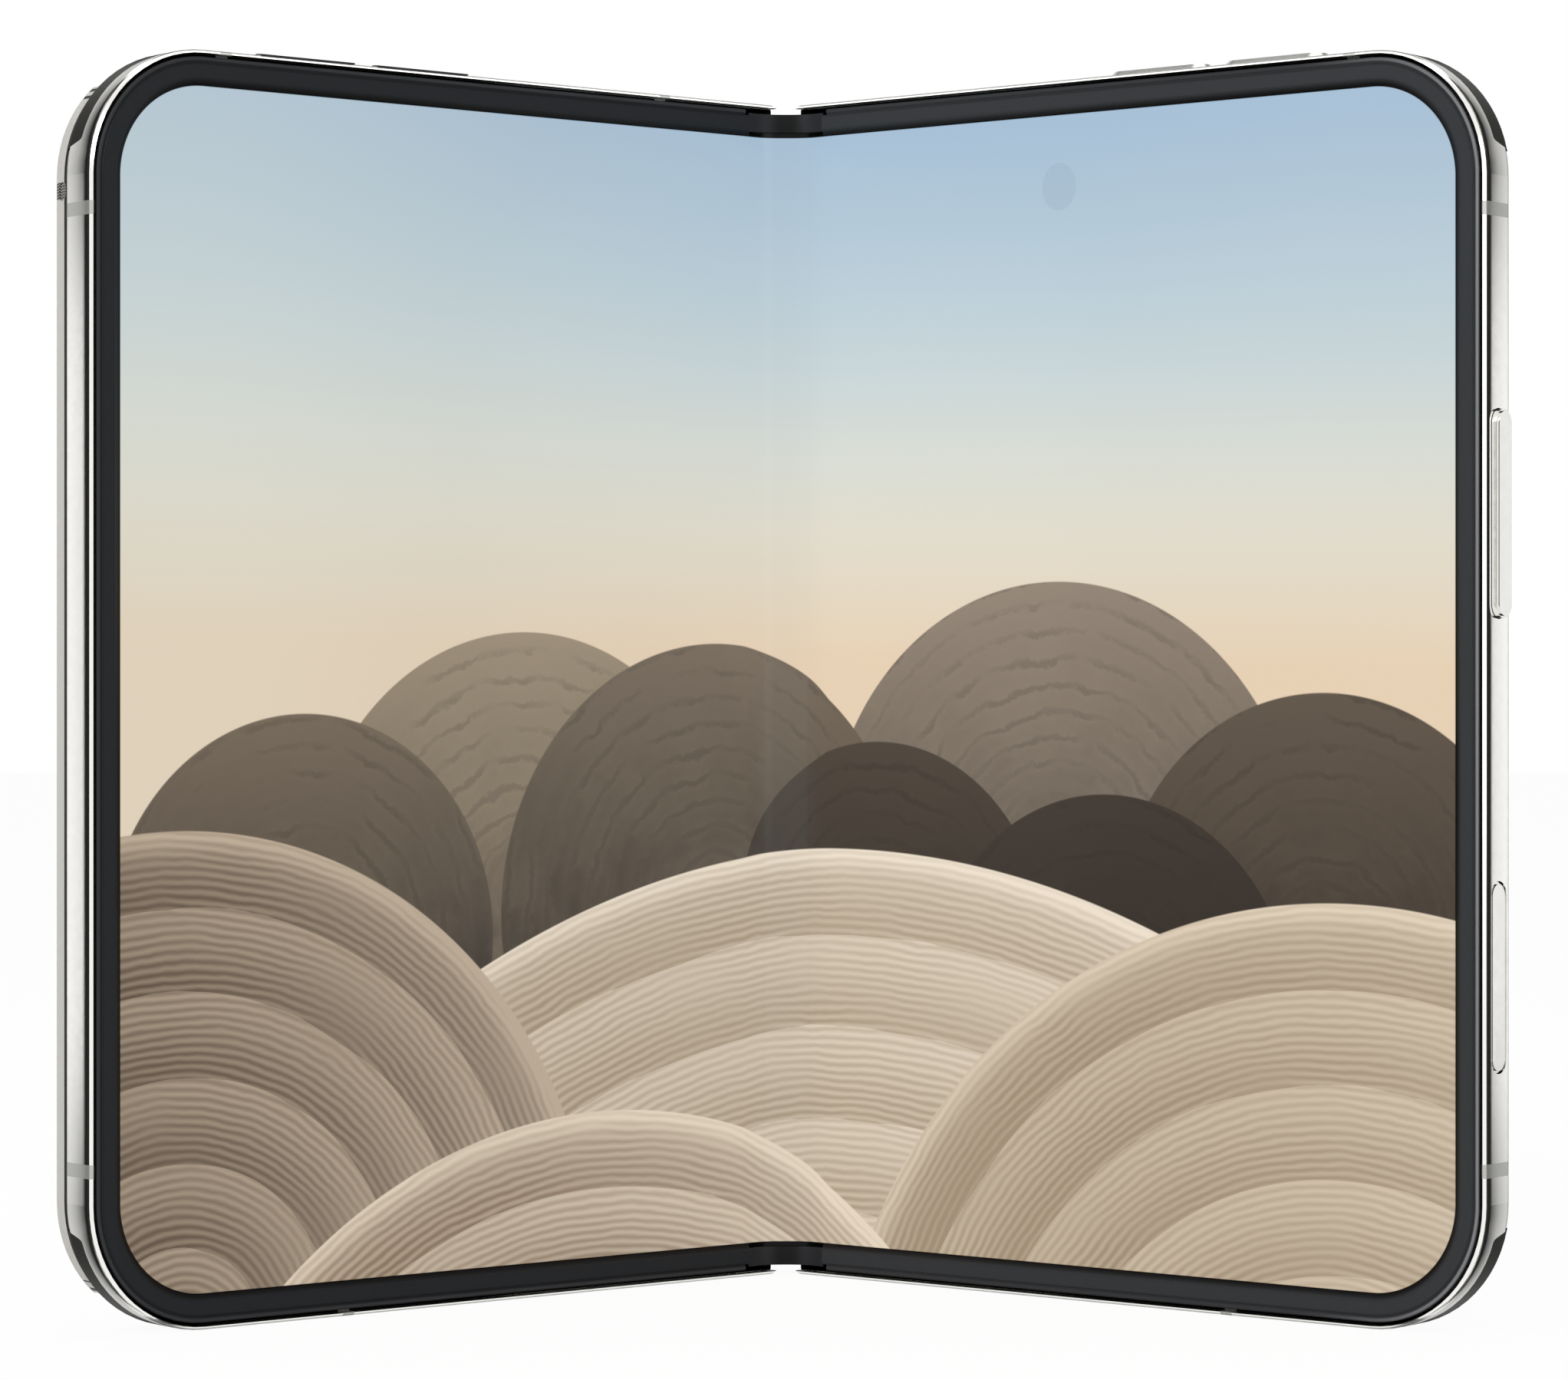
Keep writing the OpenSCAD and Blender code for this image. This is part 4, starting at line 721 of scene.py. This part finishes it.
def displayPaint():
    finish = Finish("displayPicture")
    flat = finish.node("ShaderNodeUVMap", {"uv_map": "flat"}, ())
    u, v, w = finish.split(flat)
    x, y = (u * 2.0 - 1.0) * phone["halfWidth"], v * phone["height"]

    # pale blue above, which warms to cream and peach
    sky = finish.node("ShaderNodeValToRGB", {"stops": [
        (place, tone(code)) for place, code in skyTones]}, [(v - 0.53) / 0.44 + x * 0.0004])
    sky = finish.blend(x.ease(-80.0, 10.0, 0.3, 0.0), sky, tone("cdd3c9"))
    haze = finish.noise(finish.join(x * 0.02, y * 0.03), 1.0, 2.0)
    picture = finish.blend(haze * 0.12, sky, tone("f0e9dd"))

    def awayFrom(middleX, middleY):
        across, up = x - middleX, y - middleY
        return (across * across + up * up).root()

    # hazy brown discs behind, darker towards their feet, with broken rings
    for middleX, middleY, radius, crown, foot in backDiscs:
        away = awayFrom(middleX, middleY)
        stone = finish.noise(finish.join(x * 0.11, y * 0.11, middleX), 1.0, 7.0, 0.66)
        rings = (away + stone * 5.0).waves(2.6)
        down = ((middleY + radius - y) / (radius * 1.15)).kept()
        body = finish.blend(down, tone(crown), tone(foot))
        relief = (stone.ease(0.36, 0.66) * 0.55 + rings * 0.1 + 0.05).kept()
        body = finish.blend(relief * 0.5, body, tone(crown))
        cracks = rings.ease(0.5, 1.0) * stone.ease(0.4, 0.6) * 0.25
        body = finish.blend(cracks, body, tone("2c2621"))
        picture = finish.blend(away.ease(radius - 0.1, radius + 0.1, 1.0, 0.0), picture, body)

    # sand-coloured discs in front, stepped in broad rings and grooved with fine ones
    for middleX, middleY, radius, crest, shade, pitch in frontDiscs:
        away = awayFrom(middleX, middleY)
        within = radius - away
        sweep = finish.noise(finish.join(x * 0.05, y * 0.08, middleX), 1.0, 4.0, 0.55)
        grooves = (away + sweep * 2.4).waves(0.86)
        step = ((within + sweep * 1.5) / pitch).math("FRACT")
        side = (x - middleX) / radius
        light = (0.56 - side * 0.3 - within.ease(0.0, 3.0, 0.4, 0.0)
                 + step.ease(0.0, 1.0) * 0.3 - 0.1 + grooves * sweep.ease(0.3, 0.6, 0.07, 0.16))
        picture = finish.blend(within.ease(-0.1, 0.1), picture,
                               finish.blend(light.kept(), tone(crest), tone(shade)))

    # a little darker left of the fold, where the glass leans away from the light
    lean = x.ease(-74.0, -32.0) * x.ease(-1.0, 8.0, 1.0, 0.0)
    picture = finish.blend(lean * 0.06, picture, tone("5a6066"))

    # the camera under the display, and the black border
    middleX, middleY, halfX, halfY = display["eye"]
    eyeX, eyeY = (x - middleX) / halfX, (y - middleY) / halfY
    eye = (eyeX * eyeX + eyeY * eyeY).root().ease(0.93, 1.0, 0.1, 0.0)
    picture = finish.blend(eye, picture, tone("5c6f86"))
    radius = display["borderCorner"]
    right = abs(x) - (phone["halfWidth"] - display["border"] - radius)
    high = abs(y - phone["height"] / 2) - (phone["height"] / 2 - display["border"] - radius)
    cornerDistance = (right.high(0.0) ** 2.0 + high.high(0.0) ** 2.0).root()
    lit = cornerDistance.ease(radius - 0.06, radius + 0.06, 1.0, 0.0)
    glow = finish.blend(lit, grey(0.0), picture)
    wave = finish.noise(finish.place(), 0.05, 1.0)
    normal = finish.bump(wave, 0.15, 0.0002)
    finish.surface(Base_Color=finish.blend(lit, tone("030303"), tone("101214")), Roughness=0.16,
                   Specular_IOR_Level=0.14, Emission_Color=glow, Emission_Strength=display["glow"],
                   Normal=normal)
    return finish.data


def makeDisplay(side, paint):
    name = "displayRight" if side > 0 else "displayLeft"
    inset, top = display["inset"], -phone["displayDepth"]
    outer = phone["halfWidth"] - inset
    piece = slab(name, 0, outer, inset, phone["height"] - inset, top - display["thickness"], top)
    middle = phone["height"] / 2
    for test in (lambda co: co.y < middle, lambda co: co.y > middle):
        edgesWhere(piece, lambda co: co.x > outer - 0.01 and test(co))
        bpy.ops.mesh.bevel(offset=phone["corner"] - inset, segments=display["cornerSteps"],
                           affect="EDGES")
    cutAcross([bend["flatFrom"] * (i + 1) / display["columns"] for i in range(display["columns"])])
    bpy.ops.object.mode_set(mode="OBJECT")
    for layer in list(piece.data.uv_layers):
        piece.data.uv_layers.remove(layer)
    flat = piece.data.uv_layers.new(name="flat")
    for loop in piece.data.loops:
        co = piece.data.vertices[loop.vertex_index].co
        flat.data[loop.index].uv = (side * co.x / phone["halfWidth"] / 2 + 0.5,
                                    co.y / phone["height"])
    coat(piece, paint)
    smooth(piece)
    bendOver(piece, side)
    return piece


picturePaint = displayPaint()
displayRight = makeDisplay(1, picturePaint)
displayLeft = makeDisplay(-1, picturePaint)
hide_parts("right_display", "display_fold")
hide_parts("left_display")
print("display laid over the spine")


# ---- caps over the ends of the hinge ----

def makeCap(side, top):
    name = "hingeCap" + ("Top" if top else "Bottom") + ("Right" if side > 0 else "Left")
    y0, y1 = caps["out"], caps["in"]
    if top:
        y0, y1 = phone["height"] - y1, phone["height"] - y0
    piece = slab(name, 0, caps["length"], y0, y1, -phone["displayDepth"] + 0.02, -caps["front"])
    front = -caps["front"] - 0.01
    for test in (lambda co: co.x > caps["length"] - 0.01, lambda co: co.y < y0 + 0.01,
                 lambda co: co.y > y1 - 0.01):
        edgesWhere(piece, lambda co: co.z > front and test(co))
        bpy.ops.mesh.bevel(offset=caps["edge"], segments=3, affect="EDGES")
    cutAcross([caps["length"] * (i + 1) / caps["columns"] for i in range(caps["columns"] - 1)])
    coat(piece, finishes["cap"])
    smooth(piece)
    bendOver(piece, side)
    return piece


hingeCaps = [makeCap(side, top) for side in (-1, 1) for top in (False, True)]
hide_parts("hinge_end_caps")
print("hinge caps made")
